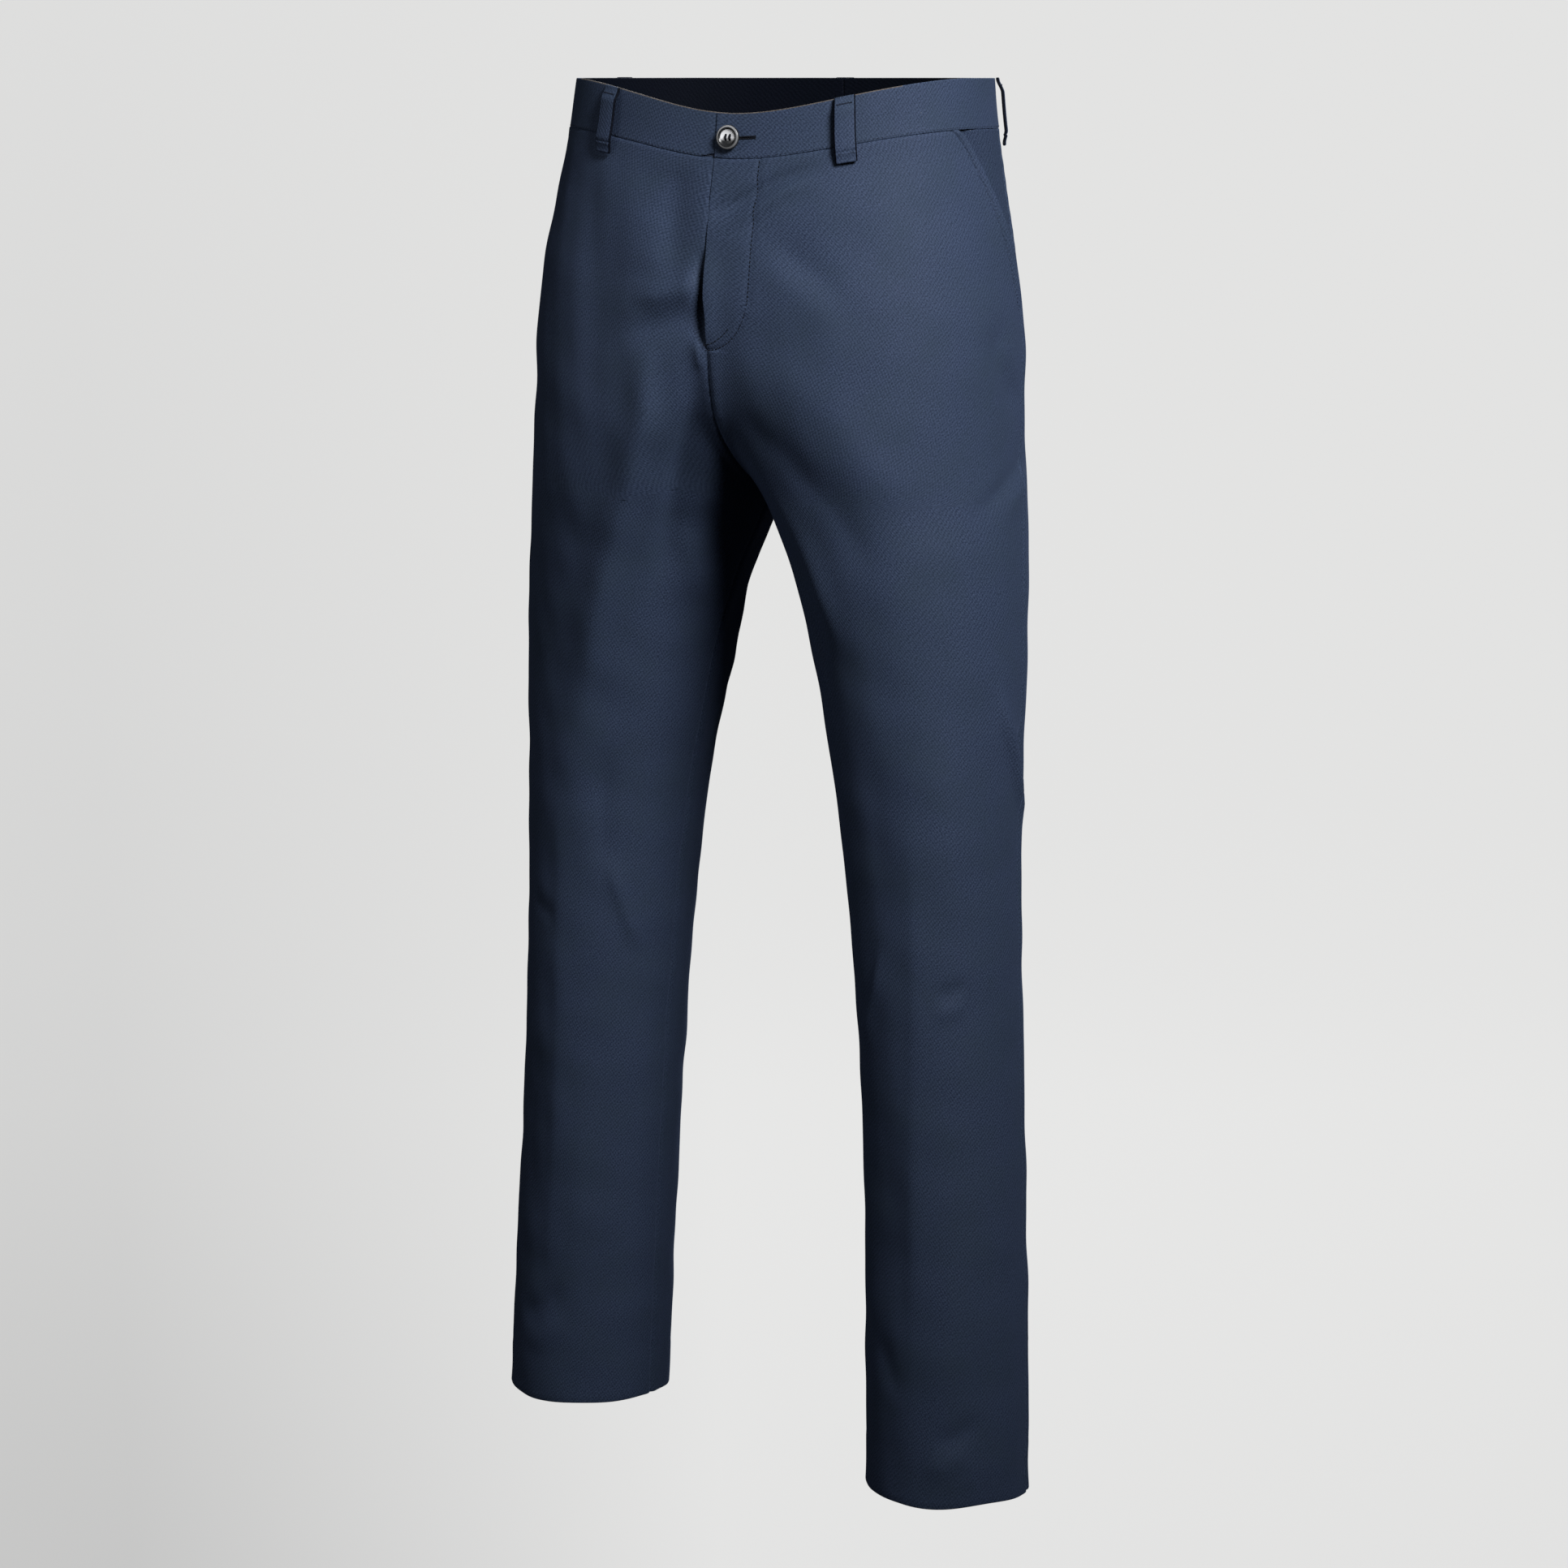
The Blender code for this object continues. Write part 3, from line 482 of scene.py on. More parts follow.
def mixColours(tree, factor, first, second, blend="MIX"):
    node = tree.nodes.new("ShaderNodeMix")
    node.data_type = "RGBA"
    node.blend_type = blend
    for index, value in ((0, factor), (6, first), (7, second)):
        if isinstance(value, (int, float, tuple)):
            node.inputs[index].default_value = value
        else:
            tree.links.new(value, node.inputs[index])
    return node.outputs[2]


def addNoise(tree, place, values, kind="ShaderNodeTexNoise"):
    node = addNode(tree, kind, values)
    tree.links.new(place, node.inputs["Vector"])
    return node


def addInputs(tree, kind, values):
    for name, value in values.items():
        socket = tree.interface.new_socket(name, in_out="INPUT", socket_type="NodeSocket" + kind)
        if value is not None:
            socket.default_value = value


def makeTwillGroup():
    tree = bpy.data.node_groups.new("twillWeave", "ShaderNodeTree")
    addInputs(tree, "Vector", {"Chart": None})
    addInputs(tree, "Color", {"Ground": (0.02, 0.03, 0.06, 1), "Yarn": (0.04, 0.05, 0.09, 1),
                              "Tint": (0.02, 0.04, 0.06, 1)})
    addInputs(tree, "Float", {"Rib pitch": 0.0026, "Rib angle": 43.0, "Cross pitch": 0.0019, "Cross angle": 58.0,
                              "Contrast": 1.0, "Lint": 1.0})
    for name, kind in (("Color", "Color"), ("Height", "Float"), ("Roughness", "Float")):
        tree.interface.new_socket(name, in_out="OUTPUT", socket_type="NodeSocket" + kind)
    start, end = tree.nodes.new("NodeGroupInput").outputs, tree.nodes.new("NodeGroupOutput").inputs
    chart = start["Chart"]

    def calc(operation, *values):
        return addMath(tree, operation, *values)

    stray = addNoise(tree, chart, {"Scale": 260.0, "Detail": 3.0})
    parts = addNode(tree, "ShaderNodeSeparateXYZ")
    tree.links.new(chart, parts.inputs[0])
    strayed = calc("MULTIPLY", calc("SUBTRACT", stray.outputs["Fac"], 0.5), 0.0024)
    across = calc("ADD", parts.outputs[0], strayed)
    down = calc("ADD", parts.outputs[1], strayed)

    def lines(pitch, angle, way):
        turn = calc("RADIANS", angle)
        first = calc("MULTIPLY", across, calc("SINE", turn))
        second = calc("MULTIPLY", down, calc("MULTIPLY", calc("COSINE", turn), way))
        phase = calc("DIVIDE", calc("ADD", first, second), pitch)
        return calc("MULTIPLY_ADD", calc("SINE", calc("MULTIPLY", phase, 2 * pi)), 0.5, 0.5)

    ribs = lines(start["Rib pitch"], start["Rib angle"], 1.0)
    cross = lines(start["Cross pitch"], start["Cross angle"], -1.0)
    weave = calc("ADD", calc("MULTIPLY", ribs, 0.58), calc("MULTIPLY", cross, 0.42))
    patch = addNoise(tree, chart, {"Scale": 34.0, "Detail": 3.0, "Roughness": 0.6}).outputs["Fac"]
    fibre = addNoise(tree, chart, {"Scale": 900.0, "Detail": 2.0}).outputs["Fac"]
    strength = calc("MULTIPLY", start["Contrast"], calc("MULTIPLY_ADD", patch, 1.4, 0.3))
    centred = calc("MULTIPLY", calc("SUBTRACT", weave, 0.5), strength)
    grain = calc("MULTIPLY", calc("SUBTRACT", fibre, 0.5), 2.2)
    amount = calc("ADD", calc("ADD", centred, grain), 0.5)
    colour = mixColours(tree, amount, start["Ground"], start["Yarn"])
    mottle = addNoise(tree, chart, {"Scale": 17.0, "Detail": 4.0, "Roughness": 0.65})
    tinted = calc("MULTIPLY", calc("SUBTRACT", mottle.outputs["Fac"], 0.42), 1.6)
    tinted = calc("MINIMUM", calc("MAXIMUM", tinted, 0.0), 0.5)
    colour = mixColours(tree, tinted, colour, start["Tint"])
    speck = addNoise(tree, chart, {"Scale": 75.0, "Randomness": 1.0}, "ShaderNodeTexVoronoi")
    channels = addNode(tree, "ShaderNodeSeparateColor")
    tree.links.new(speck.outputs["Color"], channels.inputs[0])
    chosen = calc("GREATER_THAN", channels.outputs[0], 0.965)
    small = calc("LESS_THAN", speck.outputs["Distance"], 0.035)
    lint = calc("MULTIPLY", calc("MULTIPLY", chosen, small), start["Lint"])
    colour = mixColours(tree, calc("MULTIPLY", lint, 0.35), colour, (0.16, 0.18, 0.22, 1))
    tree.links.new(colour, end["Color"])
    tree.links.new(calc("ADD", weave, calc("MULTIPLY", grain, 0.5)), end["Height"])
    tree.links.new(calc("MULTIPLY_ADD", patch, 0.16, 0.62), end["Roughness"])
    return tree


def newMaterial(name):
    material = bpy.data.materials.new(name)
    material.use_nodes = True
    return material, material.node_tree, material.node_tree.nodes["Principled BSDF"]


def addRelief(tree, height, shader, values):
    relief = addNode(tree, "ShaderNodeBump", values)
    tree.links.new(height, relief.inputs["Height"])
    tree.links.new(relief.outputs[0], shader.inputs["Normal"])


def makeCloth(name, look):
    material, tree, shader = newMaterial(name)
    weave = addNode(tree, "ShaderNodeGroup", node_tree=twillWeave)
    setSockets(weave, {"Ground": (*look["ground"], 1), "Yarn": (*look["yarn"], 1), "Tint": (*look["tint"], 1),
                       "Contrast": look["contrast"], "Lint": look["lint"]})
    chart = addNode(tree, "ShaderNodeUVMap", uv_map="cloth")
    tree.links.new(chart.outputs[0], weave.inputs["Chart"])
    addRelief(tree, weave.outputs["Height"], shader, {"Strength": look["bump"], "Distance": look["bumpHeight"]})
    tree.links.new(weave.outputs["Color"], shader.inputs["Base Color"])
    tree.links.new(weave.outputs["Roughness"], shader.inputs["Roughness"])
    setSockets(shader, {"Specular IOR Level": look["gloss"], "Sheen Weight": look["sheen"],
                        "Sheen Roughness": 0.45, "Sheen Tint": (*look["sheenTint"], 1)})
    return material


clothLooks = {
    "navyTwill": {
        "ground": (0.0160, 0.0250, 0.0510), "yarn": (0.0480, 0.0690, 0.1240), "tint": (0.0260, 0.0420, 0.0640),
        "contrast": 0.62, "lint": 1.0, "bump": 0.30, "bumpHeight": 0.0005,
        "gloss": 0.12, "sheen": 0.10, "sheenTint": (0.40, 0.55, 1.0)},
    # painted shade: the insides get a near-black cloth in place of the shade inside the trousers
    "insideTwillPaintedShade": {
        "ground": (0.0016, 0.0024, 0.0055), "yarn": (0.0036, 0.0050, 0.0100), "tint": (0.0020, 0.0032, 0.0060),
        "contrast": 0.6, "lint": 0.3, "bump": 0.25, "bumpHeight": 0.0005,
        "gloss": 0.05, "sheen": 0.0, "sheenTint": (0.55, 0.65, 0.95)},
    # painted shade: the pocket facing is a darker navy in place of the shade inside the pocket mouth
    "facingTwillPaintedShade": {
        "ground": (0.0130, 0.0205, 0.0420), "yarn": (0.0410, 0.0590, 0.1060), "tint": (0.0220, 0.0360, 0.0550),
        "contrast": 0.7, "lint": 0.5, "bump": 0.30, "bumpHeight": 0.0005,
        "gloss": 0.10, "sheen": 0.06, "sheenTint": (0.40, 0.55, 1.0)},
    "bandTape": {
        "ground": (0.060, 0.052, 0.048), "yarn": (0.120, 0.104, 0.094), "tint": (0.075, 0.066, 0.062),
        "contrast": 0.6, "lint": 0.0, "bump": 0.25, "bumpHeight": 0.0004,
        "gloss": 0.2, "sheen": 0.05, "sheenTint": (0.9, 0.85, 0.8)},
}
twillWeave = makeTwillGroup()
navyTwill, insideTwillPaintedShade, facingTwillPaintedShade, bandTape = (makeCloth(name, look) for name, look in clothLooks.items())


def makeThread(name, colour):
    material, tree, shader = newMaterial(name)
    place = addNode(tree, "ShaderNodeTexCoord")
    strands = addNoise(tree, place.outputs["Object"], {"Scale": 1400.0, "Detail": 2.0}).outputs["Fac"]
    dark, light = [tuple(c * share for c in colour) + (1,) for share in (0.6, 1.5)]
    tree.links.new(mixColours(tree, strands, dark, light), shader.inputs["Base Color"])
    addRelief(tree, strands, shader, {"Strength": 0.4, "Distance": 0.0003})
    setSockets(shader, {"Roughness": 0.75, "Sheen Weight": 0.05, "Specular IOR Level": 0.10})
    return material


navyThread = makeThread("navyThread", (0.016, 0.022, 0.040))
blackThread = makeThread("blackThread", (0.004, 0.005, 0.009))
print("materials ready")

panel = {
    "wall": 0.0012, "rows": 300, "columns": 104, "frontRows": 236, "frontColumns": 140,
    "edge": 0.009, "edgeColumns": 14, "halfGap": 0.00045,
    "roll": 0.0010, "rollWidth": 0.0016, "ridge": 0.00030, "ridgeAt": 0.0055, "ridgeWidth": 0.0035,
    "pucker": 0.00016, "puckerPitch": 0.011, "puckerAt": 0.003, "puckerWidth": 0.005,
    "hemDeep": 0.038, "hemWall": 0.0008, "hemRise": 0.00022, "hemDip": 0.00018,
    "tuck": 0.0015, "tuckDown": 0.0003, "tuckFrom": 0.0008, "rowGap": 0.0004,
}
fly = {
    "edgeLift": 0.0016, "edgeWidth": 0.009, "edgeFrom": 0.084, "edgeTo": 0.170,
    "troughDeep": 0.0062, "troughAt": 0.0045, "troughHalf": 0.0058,
    "stitchOut": 0.0330, "stitchDip": 0.0009, "stitchHalf": 0.0015, "stitchProud": 0.00045,
    "bendFrom": 0.118, "bendRows": 44, "innerStitchIn": 0.0060,
}
shield = {"top": 0.0040, "bottom": 0.1775, "rightEdge": -0.0235, "leftEdge": 0.0335, "deep": 0.0040, "wall": 0.0011}
pocket = {
    "stitchIn": 0.0070, "stitchDip": 0.00090, "stitchHalf": 0.0013, "gape": 0.0030, "gapeWide": 0.015,
    "foldRise": 0.0012, "foldWide": 0.0080, "overlap": 8, "rise": 12, "deep": 0.0022, "wall": 0.0010,
}
# darts: angle in degrees at the waist seam, and length in metres
darts = {"left": ((243, 0.085), ), "right": ((243, 0.085), )}


def panelDowns(count, bendRows=0):
    share = np.linspace(0, 1, count)
    top, crotch = form["bandHalf"] + panel["tuckDown"], form["crotch"]
    even = top + (form["hem"] - 0.0008 - top) * (0.62 * share + 0.38 * share**1.9)
    hidden = np.linspace(form["bandHalf"] - 0.0010, top - 0.0004, 6)
    turn = np.linspace(crotch - form["crotchTurn"], crotch + form["crotchTurn"], 26)
    bend = np.linspace(fly["bendFrom"] + 0.006, form["flyBottom"] + 0.003, bendRows)
    fork = np.linspace(crotch - 0.016, crotch - 0.0016, 9)
    for close in (turn, bend) if bendRows else (turn, ):
        even = even[(even < close[0] - panel["rowGap"]) | (even > close[-1] + panel["rowGap"])]
    return np.sort(np.concatenate((hidden, even, bend, turn, fork)))


def edgeColumns(count, edgeCount, edgeShare):     # shares of the width, close together at both edges
    near = np.linspace(0, 1, edgeCount + 1)[:-1]
    middle = np.linspace(0, 1, count - 2 * edgeCount)
    edge = edgeShare[:, None]
    return np.concatenate((near * edge, edge + (1 - 2 * edge) * middle, 1 - (near * edge)[:, ::-1]), axis=1)


def widthsOf(side, downs, first, last):
    share = np.linspace(0, 1, 41)
    angle = first[:, None] + (last - first)[:, None] * share
    line = surfacePoint(side, downs[:, None], angle)
    return np.linalg.norm(np.diff(line, axis=1), axis=2).sum(1)


def panelGrid(side, downs, first, last, columns, edge, edgeCount):
    width = widthsOf(side, downs, first, last)
    share = edgeColumns(columns, edgeCount, edge / width)
    angle = first[:, None] + (last - first)[:, None] * share
    down = np.repeat(downs[:, None], columns, axis=1)
    chart = np.stack(((share - 0.5) * width[:, None] * sideSign[side], down), axis=-1)
    return down, angle, share * width[:, None], (1 - share) * width[:, None], chart


def seamEdge(distance, down, phase):
    roll = -panel["roll"] * bump(distance, panel["rollWidth"])
    ridge = panel["ridge"] * bump(distance - panel["ridgeAt"], panel["ridgeWidth"])
    wave = np.sin(down / panel["puckerPitch"] * 2 * pi + phase + 2.1 * np.sin(down * 31 + phase))
    return roll + ridge + panel["pucker"] * bump(distance - panel["puckerAt"], panel["puckerWidth"]) * wave


def hemEdge(down):
    top = form["hem"] - panel["hemDeep"]
    turned = smooth((down - top) / 0.003)
    stitched = bump(down - (top - 0.001), 0.0022)
    return turned, panel["hemRise"] * turned - panel["hemDip"] * stitched


def topEdge(down):                            # the top is sewn in behind the waistband
    start = panel["tuckFrom"]
    return -panel["tuck"] * (1 - smooth((down - form["bandHalf"] + start) / (panel["tuckDown"] + start)))


def flyWindow(down):                          # where the fly's edge stands proud of its trough
    return smooth((down - fly["edgeFrom"]) / 0.03) * smooth((fly["edgeTo"] - down) / 0.02)


def frontLift(side, down, across, fromInner, fromOuter):
    lift = topEdge(down) + hemEdge(down)[1]
    innerSeam = seamEdge(fromInner, down, 0.4)
    lapping = (side == "left") & (down < form["flyBottom"] - 0.004)
    lift += np.where(lapping, 0.0, innerSeam * smooth((down - form["flyBottom"] + 0.01) / 0.02))
    lift += np.where(down < form["flyBottom"], flyLift(side, down, np.maximum(across, 0)), 0.0)
    if side == "left":
        lift += fly["edgeLift"] * flyWindow(down) * bump(np.maximum(across, 0), fly["edgeWidth"])
    else:
        lift -= fly["troughDeep"] * flyWindow(down) * bump(across - fly["troughAt"], fly["troughHalf"])
    share = pocketShare(down)
    mouth = pocket["foldRise"] * smooth(1 - fromOuter / pocket["foldWide"])
    mouth += pocket["gape"] * np.sin(pi * share) ** 0.8 * bump(fromOuter, pocket["gapeWide"])
    mouth -= pocket["stitchDip"] * bump(fromOuter - pocket["stitchIn"], pocket["stitchHalf"])
    fold = smooth((form["pocketEnd"] - down) / 0.006)
    return lift + mouth * fold + seamEdge(fromOuter, down, 1.7) * (1 - fold)


def stitchLineOut(down):                      # how far out from the middle the fly's stitching runs
    bend = np.clip((down - fly["bendFrom"]) / (form["flyBottom"] - fly["bendFrom"]), 0, 1)
    return fly["stitchOut"] * np.sqrt(np.maximum(1 - bend**2.4, 0)) - 0.001 * bend


def stitchGroove(down, across):               # measured square to that line, also where it turns level
    step = 0.0004
    slope = (stitchLineOut(down + step) - stitchLineOut(down - step)) / (2 * step)
    beside = (across - stitchLineOut(down)) / np.sqrt(1 + slope**2)
    return fly["stitchDip"] * bump(beside, fly["stitchHalf"])


def legWall(down):
    return panel["wall"] + panel["hemWall"] * hemEdge(down)[0]


def makeFront(side):
    downs = panelDowns(panel["frontRows"], fly["bendRows"] if side == "left" else 0)
    gap = panel["halfGap"]
    first = innerEdge(side, downs, gap)
    if side == "left":
        fade = 1 - smooth((downs - form["flyBottom"] + 2 * form["flyFade"]) / form["flyFade"])
        lap = angleAcross(side, downs, gap - (form["flyLap"] - 0.0006 + gap) * fade)
        first = np.where(downs < form["flyBottom"], lap, first)
    last = pocketMouth(downs) - seamTurn(downs, gap)
    down, angle, fromInner, fromOuter, chart = panelGrid(side, downs, first, last, panel["frontColumns"],
                                                         panel["edge"], panel["edgeColumns"])
    across = acrossAt(side, down, angle)
    lift = frontLift(side, down, across, fromInner, fromOuter)
    wall = legWall(down)
    if side == "left":
        lift -= stitchGroove(down, across) * (down < form["flyBottom"] + 0.002)
        thin = (1 - smooth(fromInner / form["lapThin"])) * (down < form["flyBottom"])
        wall = wall - (panel["wall"] - form["lapWall"]) * thin
    points, normals = makePoints(side, down, angle, lift)
    return shellMesh("front_" + side, points, normals, wall, chart, (navyTwill, insideTwillPaintedShade))


def dartLift(side, down, angle):
    lift = np.zeros_like(down)
    for degreesRound, length in darts[side]:
        spot = radians(degreesRound)
        aside = (angle - spot) * readTable(cutRows, down)[0]
        end = smooth((form["bandHalf"] + length - down) / (length * 0.8))
        lift += (-0.0008 * bump(aside, 0.0011) + 0.0004 * bump(np.abs(aside) - 0.0035, 0.003)) * end
    return lift


def makeBack(side):
    downs = panelDowns(panel["rows"])
    gap = panel["halfGap"]
    first = sideSeam(downs) + seamTurn(downs, gap)
    last = innerEdge(side, downs, gap, atBack=True)
    down, angle, fromOuter, fromInner, chart = panelGrid(side, downs, first, last, panel["columns"], panel["edge"],
                                                         panel["edgeColumns"])
    lift = topEdge(down) + hemEdge(down)[1] + seamEdge(fromOuter, down, 1.7) + seamEdge(fromInner, down, 0.4)
    lift += dartLift(side, down, angle)
    points, normals = makePoints(side, down, angle, lift)
    return shellMesh("back_" + side, points, normals, legWall(down), chart, (navyTwill, insideTwillPaintedShade))


def makeFacing(side):
    downs = np.linspace(form["bandHalf"] - 0.0008, form["pocketEnd"] - 0.0006, 110)
    first = pocketMouth(downs) - radians(pocket["overlap"])
    last = sideSeam(downs) - seamTurn(downs, panel["halfGap"])
    down, angle, _, fromOuter, chart = panelGrid(side, downs, first, last, 40, 0.003, 5)
    under = 1 - smooth((angle - pocketMouth(down)) / radians(pocket["rise"]))
    lift = -(panel["wall"] + pocket["deep"]) * under + seamEdge(fromOuter, down, 1.7) + topEdge(down)
    points, normals = makePoints(side, down, angle, lift)
    return shellMesh("pocket_facing_" + side, points, normals, pocket["wall"], chart, (facingTwillPaintedShade, insideTwillPaintedShade))


def acrossMiddle(out, made):                  # made: points and normals worked out on the left and on the right
    onLeft = (out >= 0)[..., None]
    return [np.where(onLeft, left, right) for left, right in zip(*made)]


def makeFlyShield():
    downs = np.linspace(form["bandHalf"] + shield["top"], shield["bottom"], 80)
    outs = np.linspace(shield["rightEdge"], shield["leftEdge"], 48)
    down, out = np.meshgrid(downs, outs, indexing="ij")
    trough = bump(out + fly["troughAt"], fly["troughHalf"] * 2.4)
    lift = -shield["deep"] - fly["troughDeep"] * flyWindow(down) * trough
    made = [makePoints(side, down, angleAcross(side, down, np.abs(out)), lift) for side in ("left", "right")]
    points, normals = acrossMiddle(out, made)
    chart = np.stack((out, down), axis=-1)
    return shellMesh("fly_shield", points, normals, shield["wall"], chart, (navyTwill, insideTwillPaintedShade))


legPieces = {}
for wearerSide in ("left", "right"):
    legPieces["front_" + wearerSide] = makeFront(wearerSide)
    legPieces["back_" + wearerSide] = makeBack(wearerSide)
    legPieces["pocket_facing_" + wearerSide] = makeFacing(wearerSide)
legPieces["fly_shield"] = makeFlyShield()
for label, piece in legPieces.items():
    piece.name = label + "_cloth"
print("leg pieces ready")

band = {"wall": 0.0015, "rows": 30, "columns": 260, "underlap": 0.030, "step": 0.012, "shorter": 0.0034,
        "base": 0.0003, "wave": 0.0002, "lap": 0.0003, "lapEdge": 0.0008, "sunk": 0.0007, "sunkMore": 0.0008,
        "tapeFrom": -55, "tapeTo": 50}


def bandLift(side, down, angle):
    across = acrossAt(side, down, angle)
    near = 1 - smooth(across / form["flyLiftSpread"])
    if side == "left":
        lift = band["lap"] * near
    else:                                     # sunk beneath the lap, level again just past its edge
        sunk = band["sunk"] + band["sunkMore"] * smooth((0.001 - across) / 0.008)
        lift = -sunk * (1 - smooth((across - 0.001) / 0.006))
    place = surfacePoint(side, np.zeros_like(down), angle)
    wave = band["wave"] * np.sin(place[..., 0] * 61 + place[..., 1] * 47 + down * 90) * smooth(across / 0.02)
    return np.where(angle < pi, lift, 0.0) + band["base"] + wave


def makeWaistband(side):
    half = form["bandHalf"]
    downs = np.concatenate((np.linspace(-half + 0.0010, half - 0.0045, band["rows"]),
                            np.linspace(half - 0.0038, half - 0.0009, 6)))
    frontEnd = -form["flyLap"] + 0.0010 if side == "left" else -band["underlap"] + 0.001
    first = angleAcross(side, downs, frontEnd)
    last = angleAcross(side, downs, band["wall"] / 2 + 0.0001, atBack=True)
    down, angle, fromFront, _, chart = panelGrid(side, downs, first, last, band["columns"], 0.006, 8)
    lift = bandLift(side, down, angle)
    if side == "right":                       # the underlap stops short of the leg's tucked top
        under = (1 - smooth((acrossAt(side, down, angle) - form["flyLap"]) / band["step"])) * (angle < pi)
        down = down - band["shorter"] * under * (down + half) / (2 * half)
    base, normals = surfaceFrame(side, down, angle)
    points = base + normals * lift[..., None]
    wall = band["wall"]
    if side == "left":
        wall = wall - (wall - band["lapEdge"]) * (1 - smooth(fromFront / form["lapThin"]))
    aside = angle[0] - pi / 2 if side == "left" else pi / 2 - angle[0]
    taped = (aside > radians(band["tapeFrom"])) & (aside < radians(band["tapeTo"]))
    return shellMesh("waistband_" + side, points, normals, wall, chart, (navyTwill, insideTwillPaintedShade, bandTape),
                     topSlots=np.where(taped, 2, 0))


bands = {wearerSide: makeWaistband(wearerSide) for wearerSide in ("left", "right")}

loops = {"width": 0.0145, "wall": 0.0020, "bow": 0.0042, "endGap": 0.0012, "bottom": 0.0305, "endShare": 0.22,
         "rim": 0.0006, "front": 32, "side": 108}


def loopGap(share):
    rise = smooth(share / loops["endShare"]) * smooth((1 - share) / loops["endShare"])
    return loops["endGap"] + (loops["bow"] - loops["endGap"]) * rise


def loopDown(share):
    top = -form["bandHalf"] + form["small"] + loops["rim"]
    return top + (loops["bottom"] - loops["rim"] - top) * share


def makeLoop(name, edgesAt):
    shares = np.linspace(0, 1, 64)
    downs = loopDown(shares)
    asides = np.linspace(-1, 1, 15)
    grids, normals = edgesAt(downs, asides)
    crown = 1 - np.abs(asides)[None, :] ** 6
    stitched = bump(np.abs(asides)[None, :] - 0.72, 0.10)
    hump = 0.0003 * crown - 0.00018 * stitched
    fold = 0.0005 * smooth((shares - 0.86) / 0.02)[:, None] - 0.0004 * bump(shares[:, None] - 0.855, 0.012)
    lift = loopGap(shares)[:, None] + loops["wall"] + hump + fold
    points = grids + normals * lift[..., None]
    chart = np.stack(np.broadcast_arrays(asides[None, :] * loops["width"] / 2, downs[:, None]), axis=-1)
    # the loops' edges take the near-black inside cloth, a painted shadow line along each side
    return shellMesh(name, points, normals, loops["wall"], chart, (navyTwill, insideTwillPaintedShade), edgeSlot=1)


def loopAt(side, bearing):
    middle = pi / 2 + radians(bearing)
    step = surfacePoint(side, 0.0, middle + 0.02) - surfacePoint(side, 0.0, middle)
    halfTurn = (loops["width"] / 2 - loops["rim"]) * 0.02 / np.linalg.norm(step)

    def grid(downs, asides):
        down, aside = np.meshgrid(downs, asides, indexing="ij")
        return surfaceFrame(side, down, middle + halfTurn * aside)
    return grid


def loopAtBack(downs, asides):
    down, aside = np.meshgrid(downs, asides * (loops["width"] / 2 - loops["rim"]), indexing="ij")
    made = [surfaceFrame(side, down, angleAcross(side, down, np.abs(aside), True)) for side in ("left", "right")]
    return acrossMiddle(aside, made)


loopPieces = {}
for wearerSide in ("left", "right"):
    for place in ("front", "side"):
        label = "loop_" + place + "_" + wearerSide
        loopPieces[label] = makeLoop(label, loopAt(wearerSide, loops[place]))
loopPieces["loop_back"] = makeLoop("loop_back", loopAtBack)
print("waistband and loops ready")

button = {"radius": 0.0088, "thick": 0.0032, "across": 0.0095, "down": 0.0015, "standoff": 0.0012,
          "holeRadius": 0.00095, "holePitch": 0.0032, "slotLong": 0.0185, "slotHigh": 0.0006, "eyeRadius": 0.0016,
          "slotStitchesAside": 0.0008, "slotStitchesPast": 0.0009, "slotStitchesHalf": 0.0013,
          "threadRadius": 0.00038, "threadOver": 0.0012, "threadRise": 0.0016, "threadSink": 0.0011,
          "shankRadius": 0.00042, "shankRing": 0.0008, "shankFrom": -0.0024}


def buttonPlace():
    down, side = np.array(button["down"]), "left"
    angle = angleAcross(side, down, button["across"])
    normal = Vector(surfaceNormal(side, down, angle))
    point = Vector(surfacePoint(side, down, angle)) + normal * form["flyLift"]
    sideWay = Vector((0, 0, 1)).cross(normal).normalized()
    upWay = normal.cross(sideWay).normalized()
    return Matrix.Translation(point) @ Matrix((sideWay, upWay, normal)).transposed().to_4x4()


def cutAway(thing, cutterMesh, place):
    cutter = putInScene("cutter", cutterMesh)
    cutter.matrix_world = place
    modifier = thing.modifiers.new("cut", "BOOLEAN")
    modifier.operation = "DIFFERENCE"
    modifier.solver = "EXACT"
    modifier.object = cutter
    bpy.context.view_layer.update()
    made = bpy.data.meshes.new_from_object(thing.evaluated_get(bpy.context.evaluated_depsgraph_get()))
    thing.modifiers.remove(modifier)
    thing.data = made
    bpy.data.objects.remove(cutter)


def prism(name, outline, low, high):
    count = len(outline)
    points = [(x, y, low) for x, y in outline] + [(x, y, high) for x, y in outline]
    faces = [tuple(range(count))[::-1], tuple(range(count, 2 * count))]
    faces += [(i, (i + 1) % count, count + (i + 1) % count, count + i) for i in range(count)]
    mesh = bpy.data.meshes.new(name)
    mesh.from_pydata(points, [], faces)
    return mesh


